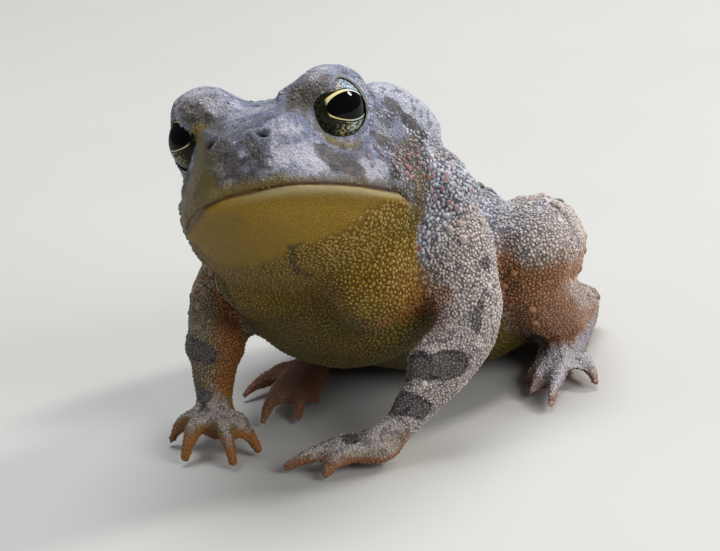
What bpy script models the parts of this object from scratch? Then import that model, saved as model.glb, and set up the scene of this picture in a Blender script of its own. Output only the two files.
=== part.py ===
"""A Fowler's toad at life size, sitting up on its front legs: a still museum model.

The toad faces -Y, its left side is +X, and the floor that it sits on is z = 0. Everything is
modelled in millimetres and turned into metres at the end, where the origin also goes to the
middle of the base of the model's box.

Soft forms are coarse cages, tubes and balls, fused by a voxel remesh and smoothed. The fused
forms are then parted into the pieces that a person would name, with a thin gap between them.
"""

import math
import random

import bmesh
import bpy
from mathutils import Matrix, Vector
from mathutils.bvhtree import BVHTree

# Driving sizes, in millimetres
GAP = 0.3  # between pieces that touch
CUT_GAP = 0.36  # how far a neighbour is swollen before it cuts a piece
FINE_VOXEL = 0.4
HAND_VOXEL = 0.3
TO_METRES = 0.001

# The head's own frame starts midway between the eyeballs: x to its left, y backwards, z up
HEAD_PLACE = Vector((1.2, -14.0, 34.1))
HEAD_YAW = 16.5  # towards its left, in degrees
HEAD_PITCH = 14.5  # nose up
HEAD_ROLL = 9.5  # left side up
EYE_OUT = 6.3  # from the midline to an eyeball's centre
EYE_BACK = -0.6
EYE_UP = -0.3
EYE_RADIUS = 3.2
GAZE_YAW = 46.0  # from straight ahead, outwards
GAZE_RISE = 3.0
BROW_Z = {-1: 1.45, 1: 0.85}  # the right brow stands a little higher on the tilted head
OPENING_HALF_WIDTH = 2.8
OPENING_HALF_HEIGHT = 2.75
LID_RADIUS = 3.05
LID_THICKNESS = 0.62
LID_AHEAD = 1.25  # from the eyeball's centre towards where it looks
NOSTRIL = Vector((2.5, -10.3, -1.3))
NOSTRIL_RADIUS = 0.42
MOUTH_FRONT_Z = -6.4
MOUTH_CORNER = Vector((0.0, 3.6, -9.4))  # y and z of both corners
LIP_RADIUS = 0.75
LIP_INSET = 0.91  # of the half width of each slice's lip
LIP_FRONT = -11.6
NECK_BACK = 9.8  # where the crown meets the body
NECK_LEAN = 29.0  # how far the neck's cut leans forward under the throat, in degrees

# One row for each slice of the head, from the snout back:
# y, half crown, z crown, half lip, z lip, half throat, z throat
HEAD_SLICES = (
    (-12.3, 1.6, -2.9, 2.2, -5.7, 1.8, -7.6),
    (-11.6, 2.7, -1.6, 4.2, -6.1, 3.0, -8.7),
    (-9.5, 3.6, -0.3, 6.5, -6.5, 4.8, -10.2),
    (-6.0, 4.5, 0.8, 8.7, -7.1, 6.6, -12.2),
    (-2.0, 5.3, 1.7, 10.2, -7.8, 8.3, -14.2),
    (2.0, 6.4, 2.3, 11.3, -8.5, 9.8, -15.6),
    (6.0, 7.6, 2.6, 12.7, -9.0, 11.2, -16.8),
    (10.0, 8.1, 2.2, 12.9, -9.0, 11.6, -17.2),
    (14.0, 8.0, 0.8, 11.8, -8.0, 11.0, -17.0),
)

# One row for each upright slice of the trunk, from the throat back:
# y, x of the middle, half width, z top, z bottom, z where it is widest
TRUNK_SLICES = (
    (-13.0, 2.4, 7.0, 28.0, 19.0, 23.5),
    (-9.0, 1.8, 10.2, 30.0, 13.5, 21.0),
    (-4.0, 1.2, 12.4, 31.0, 8.0, 19.0),
    (2.0, 0.4, 13.4, 29.0, 3.4, 15.4),
    (8.0, 0.2, 14.0, 24.6, 0.7, 12.2),
    (15.0, 0.0, 14.4, 20.0, -0.4, 9.6),
    (22.0, 0.0, 13.2, 15.6, -0.4, 7.8),
    (28.0, 0.0, 9.6, 11.2, 0.1, 6.2),
    (32.0, 0.0, 4.6, 7.2, 2.0, 4.6),
)

# Limb lines of the left side and of the right side, as (x, y, z, radius)
ARM_LEFT = (
    (8.0, -0.5, 22.0, 4.6),
    (12.0, -1.8, 19.8, 4.3),
    (14.4, -3.6, 15.8, 3.7),
    (15.5, -5.2, 12.2, 3.4),
    (14.0, -7.8, 9.0, 3.2),
    (12.0, -10.4, 5.9, 2.6),
    (10.6, -12.4, 3.8, 2.1),
    (9.2, -14.2, 2.4, 2.0),
    (8.2, -15.4, 1.8, 1.5),
)
ARM_RIGHT = (
    (-6.5, -0.8, 20.5, 4.6),
    (-9.8, -2.4, 18.0, 3.9),
    (-12.0, -4.6, 15.0, 3.4),
    (-13.1, -6.2, 12.2, 3.2),
    (-12.8, -8.0, 8.8, 2.7),
    (-12.2, -9.9, 5.7, 2.3),
    (-11.4, -11.4, 3.9, 2.0),
    (-10.4, -12.9, 2.9, 2.0),
    (-9.6, -14.2, 2.3, 1.5),
)
ELBOW_AT = 3  # index of the elbow's point in an arm line
WRIST_AT = 6
THIGH_LEFT = (
    (4.6, 26.6, 9.2, 4.8),
    (8.0, 22.4, 10.8, 5.4),
    (11.8, 16.4, 12.8, 5.1),
    (14.9, 10.8, 14.4, 4.6),
    (16.0, 8.0, 14.8, 4.2),
)
SHANK_LEFT = (
    (15.7, 7.9, 11.5, 3.3),
    (15.1, 10.8, 8.9, 3.5),
    (13.9, 15.5, 6.4, 3.3),
    (12.3, 21.3, 4.7, 2.6),
    (11.1, 25.8, 3.6, 2.1),
)
FOOT_LEFT = (
    (10.9, 26.4, 2.5, 2.0),
    (12.2, 22.2, 2.0, 1.9),
    (13.7, 17.6, 1.9, 2.0),
    (14.8, 14.2, 1.6, 1.7),
)
THIGH_RIGHT = tuple((-x, y, z, radius) for x, y, z, radius in THIGH_LEFT)
SHANK_RIGHT = tuple((-x, y, z, radius) for x, y, z, radius in SHANK_LEFT)
FOOT_RIGHT = (
    (-11.0, 26.0, 2.5, 2.0),
    (-12.4, 19.0, 2.0, 1.9),
    (-12.4, 11.6, 1.9, 2.0),
    (-10.8, 5.0, 1.6, 1.7),
)

# Digits as (root, knuckle, tip, root radius, tip radius), from the inner one outwards
FINGERS_LEFT = (
    ((8.6, -13.6, 2.0), (6.4, -12.2, 1.9), (4.0, -11.6, 0.75), 1.15, 0.8),
    ((7.9, -14.8, 2.0), (5.2, -14.6, 2.1), (2.3, -14.8, 0.75), 1.15, 0.8),
    ((7.9, -15.4, 2.0), (5.2, -16.8, 2.2), (1.4, -18.6, 0.75), 1.2, 0.8),
    ((8.4, -15.8, 2.0), (7.3, -17.3, 1.9), (6.2, -19.2, 0.75), 1.15, 0.8),
)
FINGERS_RIGHT = (
    ((-9.6, -13.0, 2.7), (-6.6, -14.2, 3.1), (-4.2, -15.2, 0.75), 1.15, 0.8),
    ((-9.4, -14.0, 2.6), (-6.9, -16.6, 3.5), (-4.7, -18.9, 0.75), 1.15, 0.8),
    ((-10.2, -14.4, 2.6), (-10.3, -16.6, 3.4), (-10.4, -18.9, 0.75), 1.2, 0.8),
    ((-11.0, -13.6, 2.6), (-13.1, -14.2, 2.7), (-14.9, -14.6, 0.75), 1.15, 0.8),
)
TOES_LEFT = (
    ((13.2, 15.6, 1.7), (12.7, 13.8, 1.6), (12.4, 12.2, 0.7), 1.15, 0.7),
    ((13.8, 15.0, 1.6), (13.4, 11.9, 1.6), (13.2, 9.0, 0.7), 1.15, 0.7),
    ((14.5, 14.2, 1.6), (14.8, 10.3, 1.8), (15.2, 6.0, 0.7), 1.2, 0.7),
    ((15.3, 14.2, 1.6), (17.0, 8.9, 1.9), (18.8, 3.2, 0.7), 1.2, 0.7),
    ((15.6, 15.0, 1.6), (18.3, 12.4, 1.6), (20.6, 9.8, 0.7), 1.15, 0.7),
)
TOES_RIGHT = (
    ((-9.8, 6.2, 1.7), (-8.6, 4.2, 1.6), (-7.4, 2.2, 0.7), 1.15, 0.7),
    ((-10.0, 5.2, 1.6), (-8.0, 1.8, 1.6), (-6.0, -1.4, 0.7), 1.15, 0.7),
    ((-10.4, 4.6, 1.6), (-7.8, -1.0, 1.8), (-5.0, -6.4, 0.7), 1.2, 0.7),
    ((-11.1, 4.4, 1.6), (-9.8, -2.2, 1.9), (-8.2, -8.2, 0.7), 1.2, 0.7),
    ((-11.8, 5.2, 1.6), (-13.4, 1.6, 1.6), (-14.6, -1.6, 0.7), 1.15, 0.7),
)

# Warts raised on the pieces: how many, smallest and largest radius, least spacing
WART_SIDES = 7
TORSO_WARTS = (46, 0.9, 1.6, 3.2)
THIGH_WARTS = (10, 0.7, 1.2, 3.0)
SHANK_WARTS = (8, 0.6, 1.0, 2.8)
ARM_WARTS = (6, 0.55, 0.9, 2.4)

# Triangles left in each kind of fused form before the cuts
HEAD_TRIANGLES = 2500
TORSO_TRIANGLES = 1100
ARM_TRIANGLES = 520
THIGH_TRIANGLES = 340
SHANK_TRIANGLES = 210
FOOT_TRIANGLES = 150
DIGIT_TRIANGLES = 90

COLOURS = {
    "skin_back": ((0.42, 0.40, 0.41), 0.55),
    "skin_belly": ((0.50, 0.42, 0.17), 0.5),
    "skin_leg": ((0.47, 0.42, 0.37), 0.55),
    "skin_gland": ((0.52, 0.49, 0.46), 0.5),
    "skin_digit": ((0.52, 0.36, 0.22), 0.5),
    "eye": ((0.03, 0.03, 0.02), 0.08),
}


# Scene, materials and small helpers


def clear_scene():
    for obj in list(bpy.data.objects):
        bpy.data.objects.remove(obj)


def new_collection(name):
    made = bpy.data.collections.new(name)
    bpy.context.scene.collection.children.link(made)
    return made


def material(name):
    made = bpy.data.materials.get(name)
    if made:
        return made
    colour, roughness = COLOURS[name]
    made = bpy.data.materials.new(name)
    made.use_nodes = True
    shader = made.node_tree.nodes["Principled BSDF"]
    shader.inputs["Base Color"].default_value = (*colour, 1)
    shader.inputs["Roughness"].default_value = roughness
    shader.inputs["Metallic"].default_value = 0
    return made


def add_object(name, mesh):
    obj = bpy.data.objects.new(name, mesh)
    bpy.context.scene.collection.objects.link(obj)
    return obj


def baked(obj, name):
    """A new mesh object of what the modifiers or the curve make of obj, which is then removed."""
    bpy.context.view_layer.update()
    graph = bpy.context.evaluated_depsgraph_get()
    mesh = bpy.data.meshes.new_from_object(obj.evaluated_get(graph))
    mesh.transform(obj.matrix_world)
    bpy.data.objects.remove(obj)
    return add_object(name, mesh)


def copied(obj, name):
    return add_object(name, obj.data.copy())


def edited(obj, change):
    """Runs a change on obj's mesh as a bmesh."""
    work = bmesh.new()
    work.from_mesh(obj.data)
    change(work)
    work.to_mesh(obj.data)
    work.free()
    return obj


def triangulated(obj):
    return edited(obj, lambda work: bmesh.ops.triangulate(work, faces=work.faces[:]))


# Where the head and the eyes point


def head_matrix():
    turn = (
        Matrix.Rotation(math.radians(HEAD_YAW), 4, "Z")
        @ Matrix.Rotation(math.radians(-HEAD_PITCH), 4, "X")
        @ Matrix.Rotation(math.radians(-HEAD_ROLL), 4, "Y")
    )
    return Matrix.Translation(HEAD_PLACE) @ turn


HEAD = head_matrix()


def eye_centre(side):
    return HEAD @ Vector((side * EYE_OUT, EYE_BACK, EYE_UP))


def gaze_matrix(side):
    """The frame of an eyeball: its z axis is where the eye looks, its x axis runs along the lids."""
    out = math.radians(GAZE_YAW)
    rise = math.radians(GAZE_RISE)
    look = Vector(
        (
            side * math.sin(out) * math.cos(rise),
            -math.cos(out) * math.cos(rise),
            math.sin(rise),
        )
    )
    look = HEAD.to_3x3() @ look
    along = (HEAD.to_3x3() @ Vector((0, 0, 1))).cross(look).normalized()
    up = look.cross(along)
    turn = Matrix((along, up, look)).transposed().to_4x4()
    return Matrix.Translation(eye_centre(side)) @ turn


# Blender forms: cages, balls and tubes


def ball(name, centre, semi, turn=None, segments=20):
    work = bmesh.new()
    bmesh.ops.create_uvsphere(
        work, u_segments=segments, v_segments=segments // 2, radius=1
    )
    mesh = bpy.data.meshes.new(name)
    work.to_mesh(mesh)
    work.free()
    size = Matrix.Diagonal((*semi, 1))
    mesh.transform(Matrix.Translation(centre) @ (turn or Matrix.Identity(4)) @ size)
    return add_object(name, mesh)


def head_ball(name, centre, semi, lean=0.0, spin=0.0):
    """A ball placed in the head's frame, leaned about its y axis and spun about its z axis."""
    turn = Matrix.Rotation(math.radians(spin), 4, "Z") @ Matrix.Rotation(
        math.radians(lean), 4, "Y"
    )
    obj = ball(name, (0, 0, 0), semi, turn)
    obj.data.transform(HEAD @ Matrix.Translation(centre))
    return obj


def tube(name, line, sides=3):
    """A round limb along (x, y, z, radius) points, with rounded ends."""
    curve = bpy.data.curves.new(name, "CURVE")
    curve.dimensions = "3D"
    curve.bevel_depth = 1.0
    curve.bevel_resolution = sides
    curve.resolution_u = 4
    curve.use_fill_caps = True
    spline = curve.splines.new("BEZIER")
    spline.radius_interpolation = "CARDINAL"
    spline.bezier_points.add(len(line) - 1)
    for point, (x, y, z, radius) in zip(spline.bezier_points, line):
        point.co = (x, y, z)
        point.radius = radius
        point.handle_left_type = "AUTO"
        point.handle_right_type = "AUTO"
    obj = baked(add_object(name, curve), name)
    edited(obj, lambda work: bmesh.ops.remove_doubles(work, verts=work.verts[:], dist=0.001))
    ends = [
        ball(name, (x, y, z), (radius, radius, radius), segments=4 * (sides + 1))
        for x, y, z, radius in (line[0], line[-1])
    ]
    return [obj, *ends]


def cage(name, rings, levels=2):
    """A closed soft form: rings of points, skinned, capped and subdivided."""
    work = bmesh.new()
    loops = [[work.verts.new(point) for point in ring] for ring in rings]
    count = len(rings[0])
    for first, second in zip(loops, loops[1:]):
        for i in range(count):
            j = (i + 1) % count
            work.faces.new((first[i], first[j], second[j], second[i]))
    work.faces.new(loops[0][::-1])
    work.faces.new(loops[-1])
    bmesh.ops.recalc_face_normals(work, faces=work.faces[:])
    mesh = bpy.data.meshes.new(name)
    work.to_mesh(mesh)
    work.free()
    obj = add_object(name, mesh)
    soften = obj.modifiers.new("soften", "SUBSURF")
    soften.levels = levels
    soften.render_levels = levels
    return baked(obj, name)


# Fusing and cutting


def fused(name, forms, voxel, smoothing):
    """One closed skin over overlapping forms, smoothed."""
    work = bmesh.new()
    for form in forms:
        work.from_mesh(form.data)
        bpy.data.objects.remove(form)
    mesh = bpy.data.meshes.new(name)
    work.to_mesh(mesh)
    work.free()
    obj = add_object(name, mesh)
    skin = obj.modifiers.new("skin", "REMESH")
    skin.mode = "VOXEL"
    skin.voxel_size = voxel
    calm = obj.modifiers.new("calm", "SMOOTH")
    calm.factor = 0.5
    calm.iterations = smoothing
    return baked(obj, name)


def thinned(obj, triangles):
    """The form with about this many triangles."""
    triangulated(obj)
    name = obj.name
    thin = obj.modifiers.new("thin", "DECIMATE")
    thin.ratio = min(1.0, triangles / len(obj.data.polygons))
    return baked(obj, name)


def swollen(obj, amount, name):
    """A copy that stands proud of obj by this much, to cut its neighbours with."""
    made = copied(obj, name)
    grow = made.modifiers.new("grow", "DISPLACE")
    grow.mid_level = 0
    grow.strength = amount
    return baked(made, name)


def boolean(obj, other, operation, solver="EXACT"):
    """Applies a Boolean with one closed mesh and removes nothing."""
    name = obj.name
    step = obj.modifiers.new("step", "BOOLEAN")
    step.object = other
    step.operation = operation
    step.solver = solver
    return largest(baked(obj, name))


def united(obj, forms):
    """One union of obj and a collection of closed forms, which are then removed."""
    group = bpy.data.collections.new(obj.name + "_forms")
    for form in forms:
        group.objects.link(form)
    name = obj.name
    step = obj.modifiers.new("join", "BOOLEAN")
    step.operand_type = "COLLECTION"
    step.collection = group
    step.operation = "UNION"
    step.solver = "EXACT"
    made = largest(baked(obj, name))
    for form in forms:
        bpy.data.objects.remove(form)
    bpy.data.collections.remove(group)
    return made


def shells(work):
    """The separate closed surfaces in a bmesh, as lists of faces."""
    left = set(work.faces)
    found = []
    while left:
        front = [left.pop()]
        shell = list(front)
        while front:
            for edge in front.pop().edges:
                for face in edge.link_faces:
                    if face in left:
                        left.remove(face)
                        front.append(face)
                        shell.append(face)
        found.append(shell)
    return sorted(found, key=shell_volume, reverse=True)


def shell_volume(shell):
    total = 0.0
    for face in shell:
        first = face.verts[0].co
        for second, third in zip(face.verts[1:-1], face.verts[2:]):
            total += first.dot(second.co.cross(third.co)) / 6
    return abs(total)


def largest(obj, rank=0):
    """Keeps only the largest closed surface, or the next one for rank 1."""

    def drop(work):
        found = shells(work)
        for i, shell in enumerate(found):
            if i != rank:
                bmesh.ops.delete(work, geom=shell, context="FACES")

    return edited(obj, drop)


def halved(obj, point, normal, name):
    """The part of obj behind a plane, closed with a flat face."""

    def slice_off(work):
        bmesh.ops.bisect_plane(
            work,
            geom=work.verts[:] + work.edges[:] + work.faces[:],
            plane_co=point,
            plane_no=normal,
            clear_outer=True,
        )
        open_edges = [edge for edge in work.edges if edge.is_boundary]
        bmesh.ops.holes_fill(work, edges=open_edges)
        bmesh.ops.triangulate(work, faces=work.faces[:])

    return largest(edited(copied(obj, name), slice_off))


def parted(obj, point, normal, near_name, far_name):
    """Cuts obj in two at a plane, with the gap between the halves. The normal points to the far one."""
    normal = Vector(normal).normalized()
    half = normal * GAP / 2
    near = halved(obj, point - half, normal, near_name)
    far = halved(obj, point + half, -normal, far_name)
    bpy.data.objects.remove(obj)
    return near, far


def floored(obj):
    """Cuts off what is under the floor, which leaves the small flats that the toad rests on."""
    if min(vert.co.z for vert in obj.data.vertices) > 0:
        return obj
    name = obj.name
    obj.name = "sunk"
    made = halved(obj, Vector((0, 0, 0)), Vector((0, 0, -1)), name)
    bpy.data.objects.remove(obj)
    return made


def removed(*objects):
    for obj in objects:
        bpy.data.objects.remove(obj)


# Warts


def surface_tree(obj):
    corners = [vert.co for vert in obj.data.vertices]
    faces = [tuple(face.vertices) for face in obj.data.polygons]
    return BVHTree.FromPolygons(corners, faces)


def wart_places(obj, plan, draw, wanted, neighbours):
    """Spread points on the faces that wanted(point, normal) accepts, clear of other pieces."""
    count, smallest, widest, spacing = plan
    faces = [
        (face.center.copy(), face.normal.copy())
        for face in obj.data.polygons
        if wanted(face.center, face.normal)
    ]
    faces.sort(key=lambda pair: tuple(round(c, 3) for c in pair[0]))
    draw.shuffle(faces)
    chosen = []
    for centre, normal in faces:
        if len(chosen) == count:
            break
        radius = draw.uniform(smallest, widest)
        crowded = any((centre - other).length < spacing for other, _, _ in chosen)
        reach = radius + GAP
        if not crowded and not any(tree.find_nearest(centre, reach)[0] for tree in neighbours):
            chosen.append((centre, normal, radius))
    return chosen


def warted(obj, plan, seed, wanted, neighbours):
    """Joins a seeded scatter of low domes, sunk well into the piece, in one union."""
    draw = random.Random(seed)
    forms = []
    for centre, normal, radius in wart_places(obj, plan, draw, wanted, neighbours):
        work = bmesh.new()
        bmesh.ops.create_uvsphere(work, u_segments=WART_SIDES, v_segments=4, radius=1)
        mesh = bpy.data.meshes.new("wart")
        work.to_mesh(mesh)
        work.free()
        turn = normal.to_track_quat("Z", "Y").to_matrix().to_4x4()
        spin = Matrix.Rotation(draw.uniform(0, math.tau), 4, "Z")
        size = Matrix.Diagonal((radius, radius, 0.75 * radius, 1))
        place = Matrix.Translation(centre - normal * 0.33 * radius)
        mesh.transform(place @ turn @ spin @ size)
        forms.append(add_object("wart", mesh))
    return united(obj, forms)


# The head and the trunk


def head_ring(y, half_crown, crown, half_lip, lip, half_throat, throat):
    """Eighteen points round the head at y: crown, cheek, lip and throat, then mirrored."""
    rise = crown - lip
    spread = half_lip - half_crown
    drop = lip - throat
    right = [
        (0.0, crown),
        (0.55 * half_crown, crown),
        (half_crown, crown - 0.3),
        (half_crown + 0.45 * spread, lip + 0.60 * rise),
        (half_crown + 0.85 * spread, lip + 0.26 * rise),
        (half_lip, lip + 0.5),
        (half_lip - (0.4 if y > 3 else 0.8), lip - 0.9),
        (half_throat, lip - 0.50 * drop),
        (0.60 * half_throat, lip - 0.90 * drop),
        (0.0, throat),
    ]
    ring = right + [(-x, z) for x, z in right[-2:0:-1]]
    return [HEAD @ Vector((x, y, z)) for x, z in ring]


def trunk_ring(y, middle, half_width, top, bottom, widest, count=18, fullness=2.3):
    ring = []
    for i in range(count):
        angle = math.tau * i / count
        across = abs(math.cos(angle)) ** (2 / fullness) * math.copysign(1, math.cos(angle))
        rise = abs(math.sin(angle)) ** (2 / fullness)
        height = (top - widest) if math.sin(angle) >= 0 else (bottom - widest)
        ring.append(Vector((middle + half_width * across, y, widest + height * rise)))
    return ring


def mouth_height(y):
    """How high the line of the mouth runs at y, in the head's frame."""
    slope = (MOUTH_CORNER.z - MOUTH_FRONT_Z) / (MOUTH_CORNER.y + 12)
    return MOUTH_FRONT_Z + slope * (y + 12)


def lips():
    """A thin roll round the snout from corner to corner, which the mouth's cut then halves."""
    rows = [row for row in HEAD_SLICES if -12 < row[0] < MOUTH_CORNER.y]
    left = [(LIP_INSET * row[3], row[0]) for row in rows]
    path = [(-x, y) for x, y in reversed(left)] + [(0.0, LIP_FRONT)] + left
    line = []
    for x, y in path:
        point = HEAD @ Vector((x, y, mouth_height(y)))
        line.append((*point, LIP_RADIUS))
    return tube("lips", line)


def lids(side):
    """The rim that the upper and lower lid make round an eye."""
    work = bmesh.new()
    rings = []
    for i in range(20):
        around = Matrix.Rotation(math.tau * i / 20, 4, "Z")
        ring = []
        for j in range(8):
            turn = math.tau * j / 8
            out = LID_RADIUS + LID_THICKNESS * math.cos(turn)
            rise = LID_THICKNESS * math.sin(turn)
            ring.append(work.verts.new(around @ Vector((out, 0, rise))))
        rings.append(ring)
    for first, second in zip(rings, rings[1:] + rings[:1]):
        for j in range(8):
            k = (j + 1) % 8
            work.faces.new((first[j], second[j], second[k], first[k]))
    bmesh.ops.recalc_face_normals(work, faces=work.faces[:])
    mesh = bpy.data.meshes.new("lids")
    work.to_mesh(mesh)
    work.free()
    mesh.transform(gaze_matrix(side) @ Matrix.Translation((0, 0, LID_AHEAD)))
    return add_object("lids", mesh)


def head_forms():
    forms = [cage("head_cage", [head_ring(*row) for row in HEAD_SLICES]), *lips()]
    for side in (-1, 1):
        forms += [
            lids(side),
            head_ball("brow", (side * 6.2, 0.7, BROW_Z[side]), (3.8, 4.6, 3.6), spin=-side * 12),
            head_ball("socket", (side * 6.9, 0.0, -0.9), (3.6, 4.0, 3.3)),
            head_ball("crest", (side * 3.0, 1.0, 2.3), (0.9, 4.8, 0.9), spin=-side * 5),
            head_ball("behind_eye", (side * 6.0, 5.2, 2.1), (3.0, 1.0, 1.0), lean=side * 22),
            head_ball("snout_edge", (side * 3.9, -6.6, -0.3), (1.0, 3.6, 0.9), spin=-side * 22),
            head_ball("nose", (side * 2.1, -10.0, -1.6), (1.4, 1.4, 1.2)),
            head_ball("cheek", (side * 11.0, 8.0, -7.0), (2.0, 3.4, 3.4), spin=-side * 8),
        ]
    return forms


def trunk_forms():
    forms = [cage("trunk_cage", [trunk_ring(*row) for row in TRUNK_SLICES])]
    for side in (-1, 1):
        forms += [
            ball("shoulder", (side * 9.0 + 1, -1.5, 22.5), (4.6, 6.2, 6.0)),
            ball("hip", (side * 6.0, 23.4, 8.4), (4.8, 5.2, 4.8)),
            ball("breast", (side * 6.3 + 1.3, -8.5, 17.5), (5.0, 5.5, 5.5)),
        ]
    forms.append(ball("chest", (0.8, -6.5, 14.5), (8.5, 5.0, 6.5)))
    forms.append(ball("belly", (-0.3, -4.0, 15.0), (12.0, 6.4, 9.2)))
    forms.append(head_ball("nape", (0, 13.2, -6.2), (12.6, 7.0, 7.2)))
    return forms


def mouth_cutter():
    """A bent sheet, as thick as the gap: back along the mouth line, then down behind the jaw."""
    front = (-20.0, mouth_height(-20.0))
    corner = (MOUTH_CORNER.y, MOUTH_CORNER.z)
    path = [front, (-12.0, mouth_height(-12.0)), (-3.5, mouth_height(-3.5)), corner]
    path += [(corner[0] + 1.1, corner[1] - 0.9), (corner[0] + 1.5, corner[1] - 2.2)]
    path.append((corner[0] + 2.6, corner[1] - 22.0))
    work = bmesh.new()
    rows = []
    for y, z in path:
        rows.append([work.verts.new(HEAD @ Vector((x, y, z))) for x in (-20.0, 20.0)])
    for first, second in zip(rows, rows[1:]):
        work.faces.new((first[0], first[1], second[1], second[0]))
    mesh = bpy.data.meshes.new("mouth_cut")
    work.to_mesh(mesh)
    work.free()
    obj = add_object("mouth_cut", mesh)
    wall = obj.modifiers.new("wall", "SOLIDIFY")
    wall.thickness = GAP
    wall.offset = 0
    return triangulated(baked(obj, "mouth_cut"))


def eye_opening(side):
    """The oval hole between the lids, as a short cone that looks where the eye looks."""
    work = bmesh.new()
    bmesh.ops.create_cone(
        work,
        cap_ends=True,
        segments=24,
        radius1=0.92,
        radius2=1.3,
        depth=1.0,
    )
    mesh = bpy.data.meshes.new("eye_opening")
    work.to_mesh(mesh)
    work.free()
    length = 6.0
    size = Matrix.Diagonal((OPENING_HALF_WIDTH, OPENING_HALF_HEIGHT, length, 1))
    ahead = Matrix.Translation((0, 0, length / 2 + 0.6))
    mesh.transform(gaze_matrix(side) @ ahead @ size)
    return triangulated(add_object("eye_opening", mesh))


def nostril_cutter(side):
    centre = Vector((side * NOSTRIL.x, NOSTRIL.y, NOSTRIL.z))
    obj = head_ball("nostril", centre, (0.6, NOSTRIL_RADIUS, 0.9), spin=side * 25)
    return triangulated(obj)


def build_head(high):
    """Parts the finished head from the fused core, cuts mouth, eyes and nostrils."""
    head = thinned(high, HEAD_TRIANGLES)
    for side, label in ((1, "left"), (-1, "right")):
        socket = triangulated(
            ball("socket", eye_centre(side), [EYE_RADIUS + GAP] * 3, segments=18)
        )
        opening = eye_opening(side)
        nostril = nostril_cutter(side)
        for cutter in (socket, opening, nostril):
            head = boolean(head, cutter, "DIFFERENCE")
        removed(socket, opening, nostril)
    slit = mouth_cutter()
    name = head.name
    step = head.modifiers.new("slit", "BOOLEAN")
    step.object = slit
    step.operation = "DIFFERENCE"
    step.solver = "EXACT"
    both = baked(head, name)
    removed(slit)
    jaw = largest(copied(both, "lower_jaw"), rank=1)
    return largest(both), jaw


def build_eye(side, label):
    eye = ball("eye_" + label, (0, 0, 0), [EYE_RADIUS] * 3, segments=16)
    eye.data.transform(gaze_matrix(side))
    return triangulated(eye)


def build_gland(side, label, cutter):
    """The long swelling behind each eye, which sits on the head and the shoulder."""
    turn = Matrix.Rotation(math.radians(-side * 17), 4, "Z") @ Matrix.Rotation(
        math.radians(-31), 4, "X"
    )
    turn = turn @ Matrix.Rotation(math.radians(side * 30), 4, "Y")
    gland = ball("parotoid_" + label, (0, 0, 0), (2.7, 6.4, 2.0), turn, segments=16)
    gland.data.transform(HEAD @ Matrix.Translation((side * 10.0, 13.4, -1.2)))
    return boolean(triangulated(gland), cutter, "DIFFERENCE")


def build_tympanum(side, label, cutter):
    turn = Matrix.Rotation(math.radians(side * 12), 4, "Z") @ Matrix.Rotation(
        math.radians(side * 20), 4, "Y"
    )
    drum = ball("tympanum_" + label, (0, 0, 0), (1.5, 1.5, 1.9), turn, segments=12)
    drum.data.transform(HEAD @ Matrix.Translation((side * 9.9, 6.6, -3.0)))
    return boolean(triangulated(drum), cutter, "DIFFERENCE")


# The legs


def point_of(line, index):
    return Vector(line[index][:3])


def build_arm(line, label, cutter):
    forms = tube("arm", line)
    elbow = point_of(line, ELBOW_AT)
    upper_middle = (point_of(line, 1) + elbow) / 2
    lower_middle = (elbow + point_of(line, WRIST_AT)) / 2
    forms.append(ball("upper_muscle", upper_middle, (3.9, 3.9, 3.9)))
    forms.append(ball("lower_muscle", lower_middle + Vector((0, 0, 1)), (3.2, 3.2, 3.2)))
    palm = point_of(line, -2) + Vector((0, 0, -0.6))
    forms.append(ball("palm", palm, (2.5, 2.5, 1.5)))
    arm = thinned(fused("arm", forms, HAND_VOXEL, 7), ARM_TRIANGLES)
    arm_cut = swollen(arm, CUT_GAP, "arm_cut")
    arm = boolean(arm, cutter, "DIFFERENCE")
    before = (point_of(line, ELBOW_AT - 1) - elbow).normalized()
    after = (point_of(line, ELBOW_AT + 1) - elbow).normalized()
    upper, rest = parted(arm, elbow, after - before, "upper_arm_" + label, "arm_rest")
    wrist = point_of(line, WRIST_AT)
    along = point_of(line, WRIST_AT + 1) - point_of(line, WRIST_AT - 1)
    forearm, hand = parted(rest, wrist, along, "forearm_" + label, "hand_" + label)
    return upper, forearm, hand, arm_cut


def build_digit(name, digit):
    root, knuckle, tip, root_radius, tip_radius = digit
    root, knuckle, tip = Vector(root), Vector(knuckle), Vector(tip)
    near = (root + knuckle) / 2 + Vector((0, 0, 0.35))
    far = (knuckle + tip) / 2 + Vector((0, 0, 0.25))
    middle_radius = (root_radius + tip_radius) / 2
    line = [
        (*root, root_radius),
        (*near, 0.97 * root_radius),
        (*knuckle, 1.08 * middle_radius),
        (*far, 0.94 * middle_radius),
        (*tip, tip_radius),
    ]
    pad = ball("pad", tip + Vector((0, 0, 0.05)), [1.12 * tip_radius] * 3, segments=12)
    return thinned(fused(name, [*tube(name, line, sides=2), pad], 0.25, 3), DIGIT_TRIANGLES)


def build_digits(prefix, digits, cutters):
    """Each digit is cut by the limb that it grows from, and by the digit beside it."""
    made = []
    beside = None
    for number, digit in enumerate(digits, 1):
        form = build_digit(f"{prefix}_{number}", digit)
        wide = swollen(form, CUT_GAP, "digit_cut")
        for cutter in [*cutters, beside]:
            if cutter:
                form = boolean(form, cutter, "DIFFERENCE")
        if beside:
            removed(beside)
        beside = wide
        made.append(floored(form))
    removed(beside)
    return made


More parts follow.
